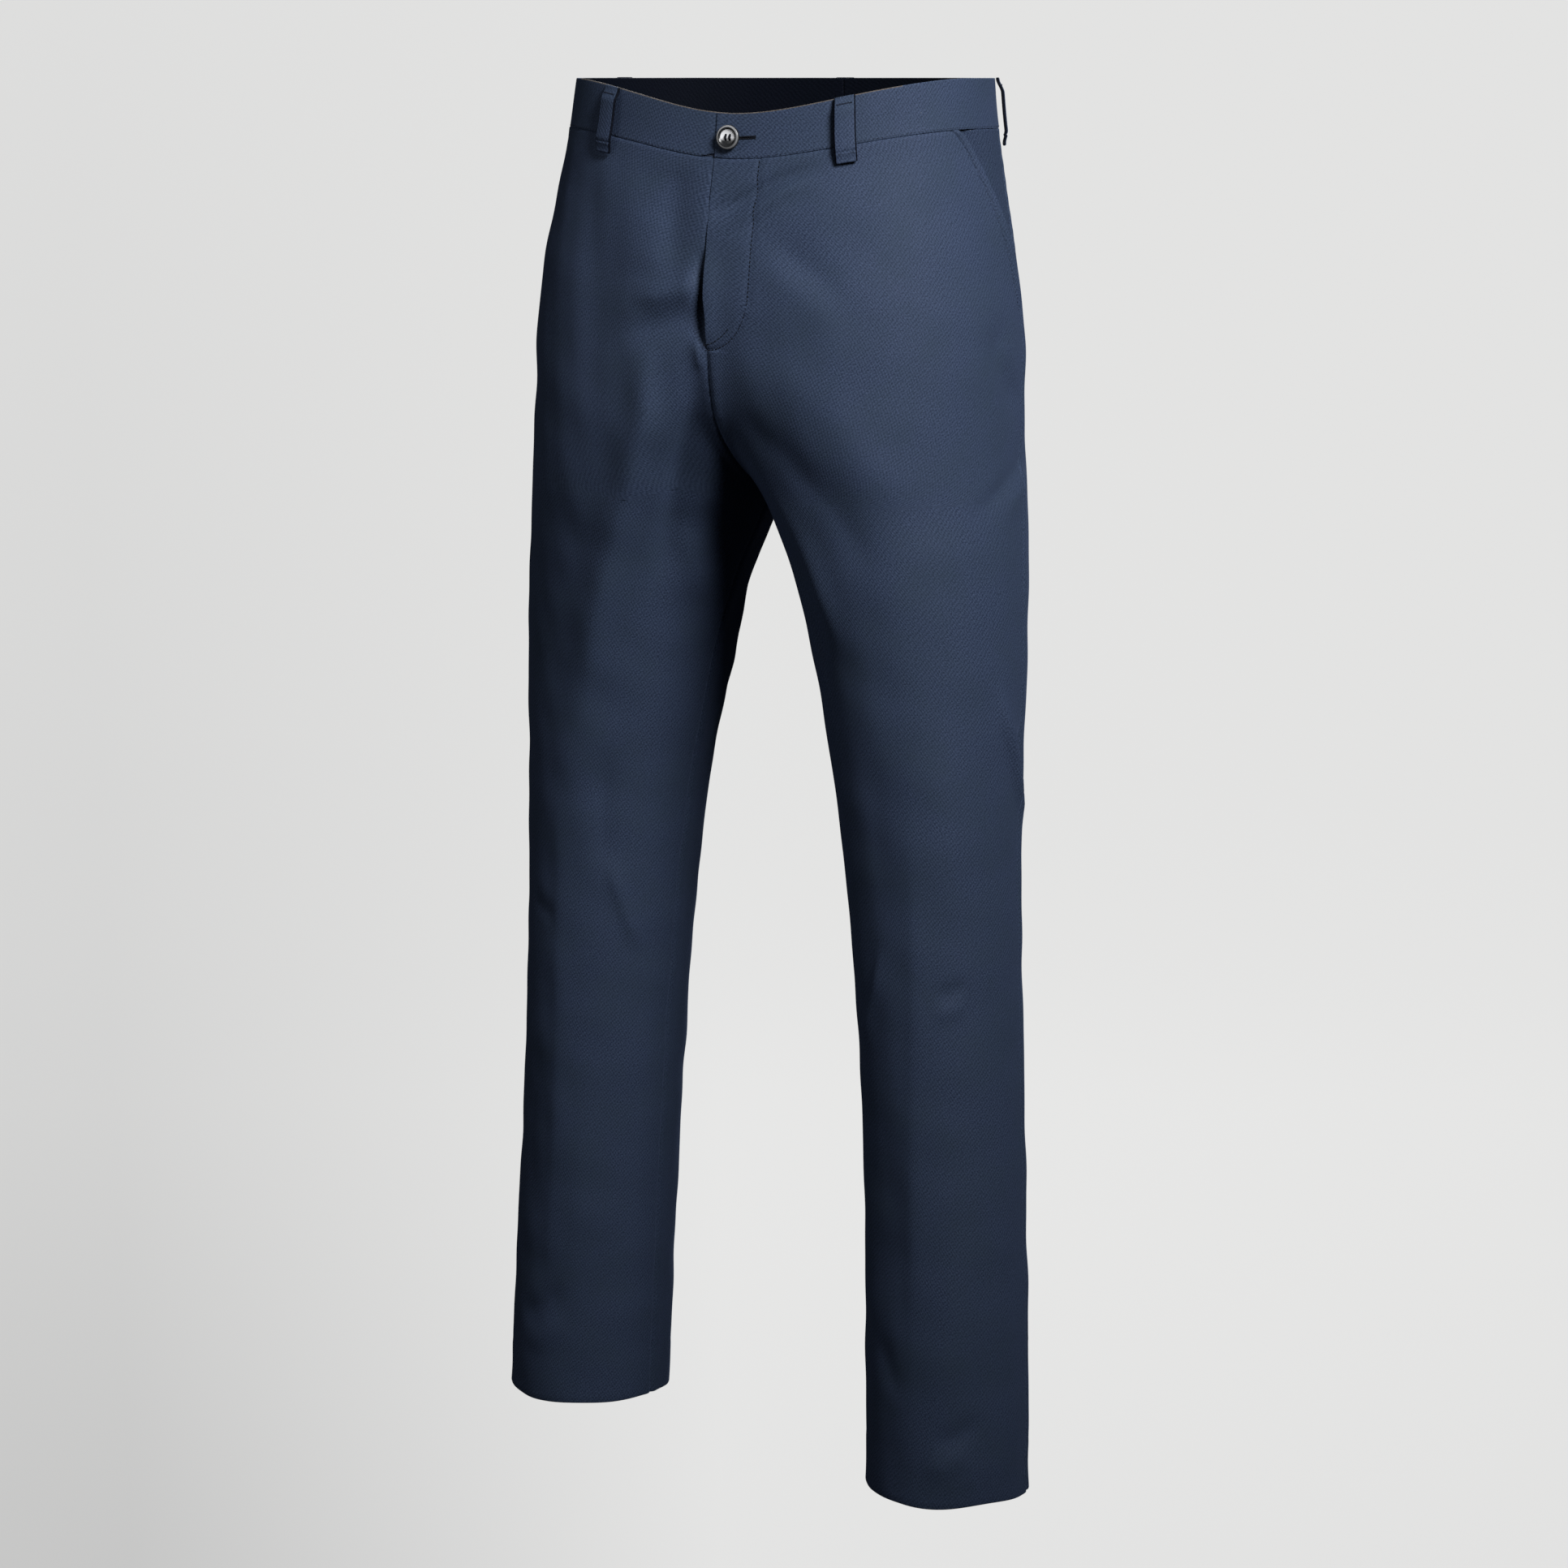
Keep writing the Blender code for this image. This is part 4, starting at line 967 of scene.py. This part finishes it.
def makeButton():
    radius, high = button["radius"], button["thick"]
    profile = ((0.0, 0.50), (0.30, 0.51), (0.50, 0.56), (0.60, 0.66), (0.66, 0.78), (0.70, 0.90), (0.735, 0.97),
               (0.78, 1.0), (0.84, 1.0), (0.89, 0.97), (0.935, 0.90), (0.97, 0.78), (0.99, 0.64), (1.0, 0.50),
               (0.99, 0.36), (0.96, 0.24), (0.90, 0.12), (0.80, 0.03), (0.66, 0.0), (0.0, 0.0))
    turns = 72
    points, faces = [], []
    rings = profile[1:-1]
    for share, rise in rings:
        for turn in range(turns):
            t = 2 * pi * turn / turns
            points.append((radius * share * cos(t), radius * share * sin(t), high * rise))
    top, bottom = len(points), len(points) + 1
    points += [(0, 0, high * profile[0][1]), (0, 0, 0)]
    for turn in range(turns):
        after = (turn + 1) % turns
        faces.append((top, turn, after))
        last = (len(rings) - 1) * turns
        faces.append((bottom, last + after, last + turn))
        for ring in range(len(rings) - 1):
            a, b = ring * turns, (ring + 1) * turns
            faces.append((a + turn, b + turn, b + after, a + after))
    mesh = bpy.data.meshes.new("button")
    mesh.from_pydata(points, [], faces)
    place = buttonPlace() @ Matrix.Translation((0, 0, button["standoff"]))
    thing = putInScene("waist_button", mesh)
    half, hole = button["holePitch"] / 2, button["holeRadius"]
    for x, y in ((-half, -half), (half, -half), (half, half), (-half, half)):
        circle = [(x + hole * cos(2 * pi * i / 20), y + hole * sin(2 * pi * i / 20)) for i in range(20)]
        cutAway(thing, prism("hole", circle, -high, 2 * high), Matrix.Identity(4))
    paintButtonLight(thing.data)
    thing.data.transform(place)
    thing.data.materials.clear()
    thing.data.materials.append(makeHornPaintedLight())
    smoothFaces(thing.data)
    thing.data.set_sharp_from_angle(angle=radians(40))
    return thing


def makeHornPaintedLight():
    material, tree, shader = newMaterial("smokeHornPaintedLight")
    # base colour: the painted light and shade on the button, mottled a little like horn
    paintedLight = addNode(tree, "ShaderNodeAttribute", attribute_name="paintedLight")
    place = addNode(tree, "ShaderNodeTexCoord")
    swirl = addNoise(tree, place.outputs["Object"], {"Scale": 240.0, "Detail": 3.0, "Distortion": 1.0})
    amount = addMath(tree, "MULTIPLY", swirl.outputs["Fac"], 0.25)
    shade = mixColours(tree, amount, paintedLight.outputs["Color"], (0.05, 0.055, 0.065, 1))
    tree.links.new(shade, shader.inputs["Base Color"])
    setSockets(shader, {"Roughness": 0.32, "Specular IOR Level": 0.35, "Coat Weight": 0.12, "Coat Roughness": 0.15})
    return material


def paintButtonLight(mesh):                          # painted light and shade: painted shade on the rim and in the groove, a pale ring lighter on top, and a painted reflection leaving the centre pale above and dark below
    radius = button["radius"]
    layer = mesh.color_attributes.new("paintedLight", "FLOAT_COLOR", "POINT")
    for vertex, spot in zip(mesh.vertices, layer.data):
        out, up = np.hypot(vertex.co.x, vertex.co.y) / radius, vertex.co.y / radius
        ring = float(smooth((out - 0.78) / 0.03) * smooth((0.96 - out) / 0.04))
        centre = float(smooth((0.66 - out) / 0.04) * smooth((up + 0.30) / 0.30))
        value = 0.010 + 0.30 * ring * (0.75 + 0.4 * up) + 0.85 * centre
        spot.color = (value, value * 1.01, value * 1.04, 1.0)


def makeThreadBars():                          # sewing thread over the button, two upright bars, and the shank
    place = buttonPlace()
    lift = button["standoff"] + button["thick"] * 0.53
    half = button["holePitch"] / 2
    points, faces = [], []
    for x in (-half, half):
        for strand in (-0.00048, -0.00016, 0.00016, 0.00048):
            path = []
            for step in range(9):
                t = step / 8
                y = (t - 0.5) * (button["holePitch"] + button["threadOver"])
                rise = button["threadRise"] * sin(pi * t) ** 0.6
                path.append((x + strand, y, lift - button["threadSink"] + rise))
            addTube(points, faces, path, button["threadRadius"], 6)
    for strand in range(6):
        t = 2 * pi * strand / 6
        heights, ring = np.linspace(button["shankFrom"], button["standoff"] + 0.0002, 8), button["shankRing"]
        path = [(ring * cos(t + z * 900), ring * sin(t + z * 900), z) for z in heights]
        addTube(points, faces, path, button["shankRadius"], 6)
    mesh = bpy.data.meshes.new("button_thread")
    mesh.from_pydata(points, [], faces)
    mesh.transform(place)
    mesh.materials.append(blackThread)
    smoothFaces(mesh)
    return putInScene("button_thread", mesh)


def addTube(points, faces, path, radius, around):
    path = [Vector(p) for p in path]
    start = len(points)
    for at, spot in enumerate(path):
        way = (path[min(at + 1, len(path) - 1)] - path[max(at - 1, 0)]).normalized()
        sideWay = way.orthogonal().normalized() if at == 0 else (lastSide - way * lastSide.dot(way)).normalized()
        lastSide = sideWay
        upWay = way.cross(sideWay)
        for turn in range(around):
            t = 2 * pi * turn / around
            points.append(tuple(spot + sideWay * radius * cos(t) + upWay * radius * sin(t)))
    for at in range(len(path) - 1):
        a, b = start + at * around, start + (at + 1) * around
        for turn in range(around):
            after = (turn + 1) % around
            faces.append((a + turn, a + after, b + after, b + turn))
    faces.append(tuple(start + turn for turn in range(around))[::-1])
    faces.append(tuple(start + (len(path) - 1) * around + turn for turn in range(around)))


slotHalf, eyeRadius = button["slotHigh"] / 2, button["eyeRadius"]
eye = [(eyeRadius * cos(t), eyeRadius * sin(t)) for t in np.linspace(radians(20), radians(340), 16)]
slotOutline = eye + [(button["slotLong"], -slotHalf), (button["slotLong"], slotHalf)]
cutAway(bands["left"], prism("slot", slotOutline, -0.008, 0.008), buttonPlace())
buttonPiece = makeButton()
buttonThread = makeThreadBars()
print("button ready")


def makeStitchTree():
    tree = bpy.data.node_groups.new("stitchRow", "GeometryNodeTree")
    addInputs(tree, "Geometry", {"Geometry": None})
    addInputs(tree, "Float", {"Spacing": 0.0034, "Length": 0.0028, "Thickness": 0.0006, "Turn": 0.0, "Uneven": 0.04})
    addInputs(tree, "Material", {"Thread": None})
    tree.interface.new_socket("Geometry", in_out="OUTPUT", socket_type="NodeSocketGeometry")
    start, end = tree.nodes.new("NodeGroupInput").outputs, tree.nodes.new("NodeGroupOutput")
    path = addNode(tree, "GeometryNodeMeshToCurve")
    spaced = addNode(tree, "GeometryNodeResampleCurve", mode="LENGTH")
    stitch = addNode(tree, "GeometryNodeMeshUVSphere", {"Segments": 6, "Rings": 4, "Radius": 0.5})
    outward = addNode(tree, "GeometryNodeInputNamedAttribute", {"Name": "outward"}, data_type="FLOAT_VECTOR")
    ahead = addNode(tree, "GeometryNodeInputTangent")
    aim = addNode(tree, "FunctionNodeAxesToRotation", primary_axis="Z", secondary_axis="X")
    uneven = addNode(tree, "FunctionNodeRandomValue", {"Seed": 7}, data_type="FLOAT")
    minus = addMath(tree, "MULTIPLY", start["Uneven"], -1.0)
    turn = addMath(tree, "ADD", start["Turn"], uneven.outputs[1])
    euler = addNode(tree, "ShaderNodeCombineXYZ")
    asRotation = addNode(tree, "FunctionNodeEulerToRotation")
    turned = addNode(tree, "FunctionNodeRotateRotation", rotation_space="LOCAL")
    size = addNode(tree, "ShaderNodeCombineXYZ")
    place = addNode(tree, "GeometryNodeInstanceOnPoints")
    real = addNode(tree, "GeometryNodeRealizeInstances")
    paint = addNode(tree, "GeometryNodeSetMaterial")
    for output, node, socket in (
            (start["Geometry"], path, "Mesh"), (path.outputs[0], spaced, "Curve"),
            (start["Spacing"], spaced, "Length"),
            (outward.outputs[0], aim, 0), (ahead.outputs[0], aim, 1),
            (start["Uneven"], uneven, 3), (minus, uneven, 2), (turn, euler, 2), (euler.outputs[0], asRotation, 0),
            (aim.outputs[0], turned, 0), (asRotation.outputs[0], turned, 1),
            (start["Length"], size, 0), (start["Thickness"], size, 1), (start["Thickness"], size, 2),
            (spaced.outputs[0], place, "Points"), (stitch.outputs["Mesh"], place, "Instance"),
            (turned.outputs[0], place, "Rotation"), (size.outputs[0], place, "Scale"),
            (place.outputs[0], real, 0), (real.outputs[0], paint, "Geometry"),
            (start["Thread"], paint, "Material"), (paint.outputs[0], end, "Geometry")):
        tree.links.new(output, node.inputs[socket])
    return tree


stitchTree = makeStitchTree()
stitchPieces = []


# rows holds one (points, normals) pair for each line of stitching
def sewRow(name, rows, thread, spacing=0.0034, length=0.0027, thickness=0.00055, turn=0.0, uneven=0.05):
    mesh = bpy.data.meshes.new(name + "_path")
    points = np.concatenate([row[0] for row in rows])
    normals = np.concatenate([row[1] for row in rows])
    edges, start = [], 0
    for row in rows:
        edges += [(start + i, start + i + 1) for i in range(len(row[0]) - 1)]
        start += len(row[0])
    mesh.from_pydata([tuple(p) for p in points.tolist()], edges, [])
    attribute = mesh.attributes.new("outward", "FLOAT_VECTOR", "POINT")
    attribute.data.foreach_set("vector", normals.astype(np.float32).ravel())
    path = putInScene(name + "_path", mesh)
    modifier = path.modifiers.new("stitches", "NODES")
    modifier.node_group = stitchTree
    values = {"Spacing": spacing, "Length": length, "Thickness": thickness, "Turn": turn, "Uneven": uneven,
              "Thread": thread}
    for item in stitchTree.interface.items_tree:
        if item.in_out == "INPUT" and item.name in values:
            modifier[item.identifier] = values[item.name]
    bpy.context.view_layer.update()
    made = bpy.data.meshes.new_from_object(path.evaluated_get(bpy.context.evaluated_depsgraph_get()))
    path.modifiers.remove(modifier)
    bpy.data.objects.remove(path)
    smoothFaces(made)
    stitchPieces.append(putInScene(name, made))


def pocketRow(side, inset, downs):
    angle = pocketMouth(downs) - seamTurn(downs, panel["halfGap"] + inset)
    far, near = np.full_like(downs, 0.2), np.full_like(downs, inset)
    lift = frontLift(side, downs, acrossAt(side, downs, angle), far, near)
    return makePoints(side, downs, angle, lift + 0.0001)


def flyRow(inner=False):
    bendDeep = form["flyBottom"] - fly["bendFrom"]
    downs = fly["bendFrom"] + bendDeep * np.sin(np.linspace(0.03, pi / 2, 40))
    out = stitchLineOut(downs)
    if inner:                                 # a short second row inside the bend
        downs, out = downs[20:36] - fly["innerStitchIn"] * 0.6, out[20:36] - fly["innerStitchIn"]
    else:
        straight = np.linspace(form["bandHalf"] + 0.003, fly["bendFrom"], 60)
        downs, out = np.concatenate((straight, downs)), np.concatenate((stitchLineOut(straight), out))
    angle = angleAcross("left", downs, out)
    lift = frontLift("left", downs, out, out, np.full_like(downs, 0.2))
    lift = lift - stitchGroove(downs, out) + fly["stitchProud"]
    return makePoints("left", downs, angle, lift)


def onBand(side, down, angle, proud):
    base, normal = surfaceFrame(side, down, angle)
    return base + normal * (bandLift(side, down, angle) + proud)[:, None], normal


def bandRow(side):
    middle = np.array(0.0)
    start = float(angleAcross(side, middle, 0.0 if side == "left" else 0.004))
    angle = np.linspace(start, float(angleAcross(side, middle, 0.004, True)), 400)
    return onBand(side, np.full_like(angle, form["bandHalf"] - 0.0016), angle, 0.00005)


pocketDowns = np.linspace(form["bandHalf"] + 0.004, form["pocketEnd"] - 0.004, 120)
for wearerSide in ("left", "right"):
    sewRow("pocket_stitches_" + wearerSide, [pocketRow(wearerSide, pocket["stitchIn"], pocketDowns)], navyThread)
    sewRow("band_stitches_" + wearerSide, [bandRow(wearerSide)], navyThread,
           spacing=0.0030, length=0.0021, thickness=0.00045)
sewRow("fly_stitches", [flyRow(), flyRow(inner=True)], blackThread,
       spacing=0.0030, length=0.0024, thickness=0.00062)


def holeRow(spots):                           # spots: (across from the button, up) on the band
    spots = np.array(spots)
    down, across = button["down"] - spots[:, 1], button["across"] + spots[:, 0]
    return onBand("left", down, angleAcross("left", down, across), 0.0002)


slotEnd, slotSide, tackHalf = button["slotLong"], button["slotStitchesAside"], button["slotStitchesHalf"]
holeRows = []
for slotEdge in (slotSide, -slotSide):
    holeRows.append(holeRow([(x, slotEdge * (0.75 + 0.25 * smooth((x - 0.006) / 0.008)))
                             for x in np.linspace(0.004, slotEnd, 40)]))
holeRows.append(holeRow([(slotEnd + button["slotStitchesPast"], y) for y in np.linspace(-tackHalf, tackHalf, 10)]))
sewRow("buttonhole_stitches", holeRows, blackThread,
       spacing=0.00055, length=0.0013, thickness=0.00048, turn=pi / 2, uneven=0.10)


def tackRow(grid, share):
    points, normals = grid(np.array((loopDown(share), )), np.linspace(-0.78, 0.78, 30))
    return points[0] + normals[0] * (float(loopGap(share)) + loops["wall"] + 0.00045), normals[0]


tackGrids = [loopAt(wearerSide, loops[place]) for wearerSide in ("left", "right") for place in ("front", "side")]
tackRows = [tackRow(grid, share) for grid in tackGrids + [loopAtBack] for share in (0.10, 0.88)]
sewRow("loop_tacks", tackRows, navyThread,
       spacing=0.00055, length=0.0016, thickness=0.00048, turn=pi / 2, uneven=0.12)
print("stitches ready")

for label, piece in legPieces.items():
    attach(piece, "root")
    kind, _, wearerSide = label.rpartition("_")
    if kind in ("front", "back"):
        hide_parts(label + "_upper", label + "_lower")
    else:
        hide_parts(label)
for wearerSide, piece in bands.items():
    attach(piece, "root")
    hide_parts("waistband_" + wearerSide)
    piece.name = "waistband_" + wearerSide + "_cloth"
for label, piece in loopPieces.items():
    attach(piece, "root")
    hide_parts(label)
    piece.name = label + "_cloth"
for piece, node, slot in ((buttonPiece, "button", "button"), (buttonThread, "button_shank", "thread")):
    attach(piece, "root")
    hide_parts(node)
for piece in stitchPieces:
    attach(piece, "root")

view = {"bearing": 24.5, "away": 2.6, "high": 0.02, "pitch": 11.5, "lens": 80.05, "sensor": 36.0}
studio = {"floor": -1.60, "flat": 3.6, "bend": 1.6, "wall": 3.4, "turns": 96,
          "pale": (0.765, 0.765, 0.760), "dim": (0.50, 0.50, 0.497)}


def shadePaper(tree):                         # painted shade on the glowing backdrop: a little darker low on the left, paler on the right
    place = addNode(tree, "ShaderNodeTexCoord")

    def along(way):
        node = addNode(tree, "ShaderNodeVectorMath", operation="DOT_PRODUCT")
        tree.links.new(place.outputs["Object"], node.inputs[0])
        node.inputs[1].default_value = way
        return node.outputs["Value"]

    def mapped(value, low, high, start, stop):
        limits = {"From Min": low, "From Max": high, "To Min": start, "To Max": stop}
        node = addNode(tree, "ShaderNodeMapRange", limits)
        tree.links.new(value, node.inputs["Value"])
        return node.outputs[0]

    bearing = radians(view["bearing"])
    ahead = along((-sin(bearing), cos(bearing), 0.0))
    away = addMath(tree, "MAXIMUM", addMath(tree, "ADD", ahead, view["away"]), 1.5)
    aside = addMath(tree, "DIVIDE", along((-cos(bearing), -sin(bearing), 0.0)), away)
    lower = mapped(along((0.0, 0.0, 1.0)), 0.2, -1.4, 0.15, 0.36)
    low = addMath(tree, "ADD", lower, mapped(ahead, 4.4, 1.0, 0.0, 0.36))
    amount = addMath(tree, "MULTIPLY", mapped(aside, 0.02, 0.20, 0.0, 1.0), low)
    amount = addMath(tree, "MULTIPLY", amount, mapped(ahead, -0.8, 0.8, 0.0, 1.0))
    amount = addMath(tree, "ADD", amount, mapped(ahead, 2.8, 0.9, 0.0, 0.16))
    shade = mixColours(tree, amount, (*studio["pale"], 1), (*studio["dim"], 1))
    tree.links.new(shade, tree.nodes["Principled BSDF"].inputs["Emission Color"])


def makeSurround():
    floor, flat, bend, turns = studio["floor"], studio["flat"], studio["bend"], studio["turns"]
    profile = [(0.0, floor), (1.2, floor), (2.4, floor), (flat, floor)]
    for step in range(1, 13):
        t = pi / 2 * step / 12
        profile.append((flat + bend * sin(t), floor + bend * (1 - cos(t))))
    profile.append((flat + bend, studio["wall"]))
    points, faces = [(0.0, 0.0, floor)], []
    for out, high in profile[1:]:
        points += [(out * cos(2 * pi * i / turns), out * sin(2 * pi * i / turns), high) for i in range(turns)]
    for i in range(turns):
        after = (i + 1) % turns
        faces.append((0, 1 + i, 1 + after))
        for ring in range(len(profile) - 2):
            a, b = 1 + ring * turns, 1 + (ring + 1) * turns
            faces.append((a + i, b + i, b + after, a + after))
    mesh = bpy.data.meshes.new("surround")
    mesh.from_pydata(points, [], faces)
    smoothFaces(mesh)
    material, tree, shader = newMaterial("palePaper")
    setSockets(shader, {"Base Color": (0.05, 0.05, 0.05, 1), "Roughness": 0.9, "Specular IOR Level": 0.1,
                        "Emission Strength": 1.0})
    shadePaper(tree)
    mesh.materials.append(material)
    thing = putInScene("surround", mesh)
    thing.visible_diffuse = False
    thing.visible_glossy = False
    thing.visible_shadow = False


def addLight(name, size, energy, place, target):
    lamp = bpy.data.lights.new(name, "AREA")
    lamp.shape = "RECTANGLE"
    lamp.size = lamp.size_y = size
    lamp.energy = energy
    thing = putInScene(name, lamp)
    thing.location = place
    thing.rotation_euler = (Vector(target) - Vector(place)).to_track_quat("-Z", "Y").to_euler()
    return thing


makeSurround()
key = addLight("key", size=1.0, energy=14.4, place=(1.72, -1.15, 1.25), target=(0.0, 0.0, 0.06))
key.data.spread = radians(66)
addLight("fill", size=1.6, energy=12, place=(-1.9, -2.1, 0.6), target=(0.0, 0.0, -0.1))
addLight("behind", size=1.2, energy=74, place=(-0.9, 2.62, 1.2), target=(0.0, 0.0, -0.4))
world = bpy.data.worlds.new("room")
world.use_nodes = True
setSockets(world.node_tree.nodes["Background"], {"Color": (1, 1, 1, 1), "Strength": 0.016})
bpy.context.scene.world = world
bpy.context.scene.view_settings.view_transform = "Standard"

camera = bpy.data.cameras.new("camera")
camera.lens = view["lens"]
camera.sensor_width = view["sensor"]
cameraThing = putInScene("camera", camera)
bearing, pitch = radians(view["bearing"]), radians(view["pitch"])
cameraThing.location = (view["away"] * sin(bearing), -view["away"] * cos(bearing), view["high"])
cameraThing.rotation_euler = (pi / 2 - pitch, 0, bearing)
bpy.context.scene.camera = cameraThing

print("scene ready")
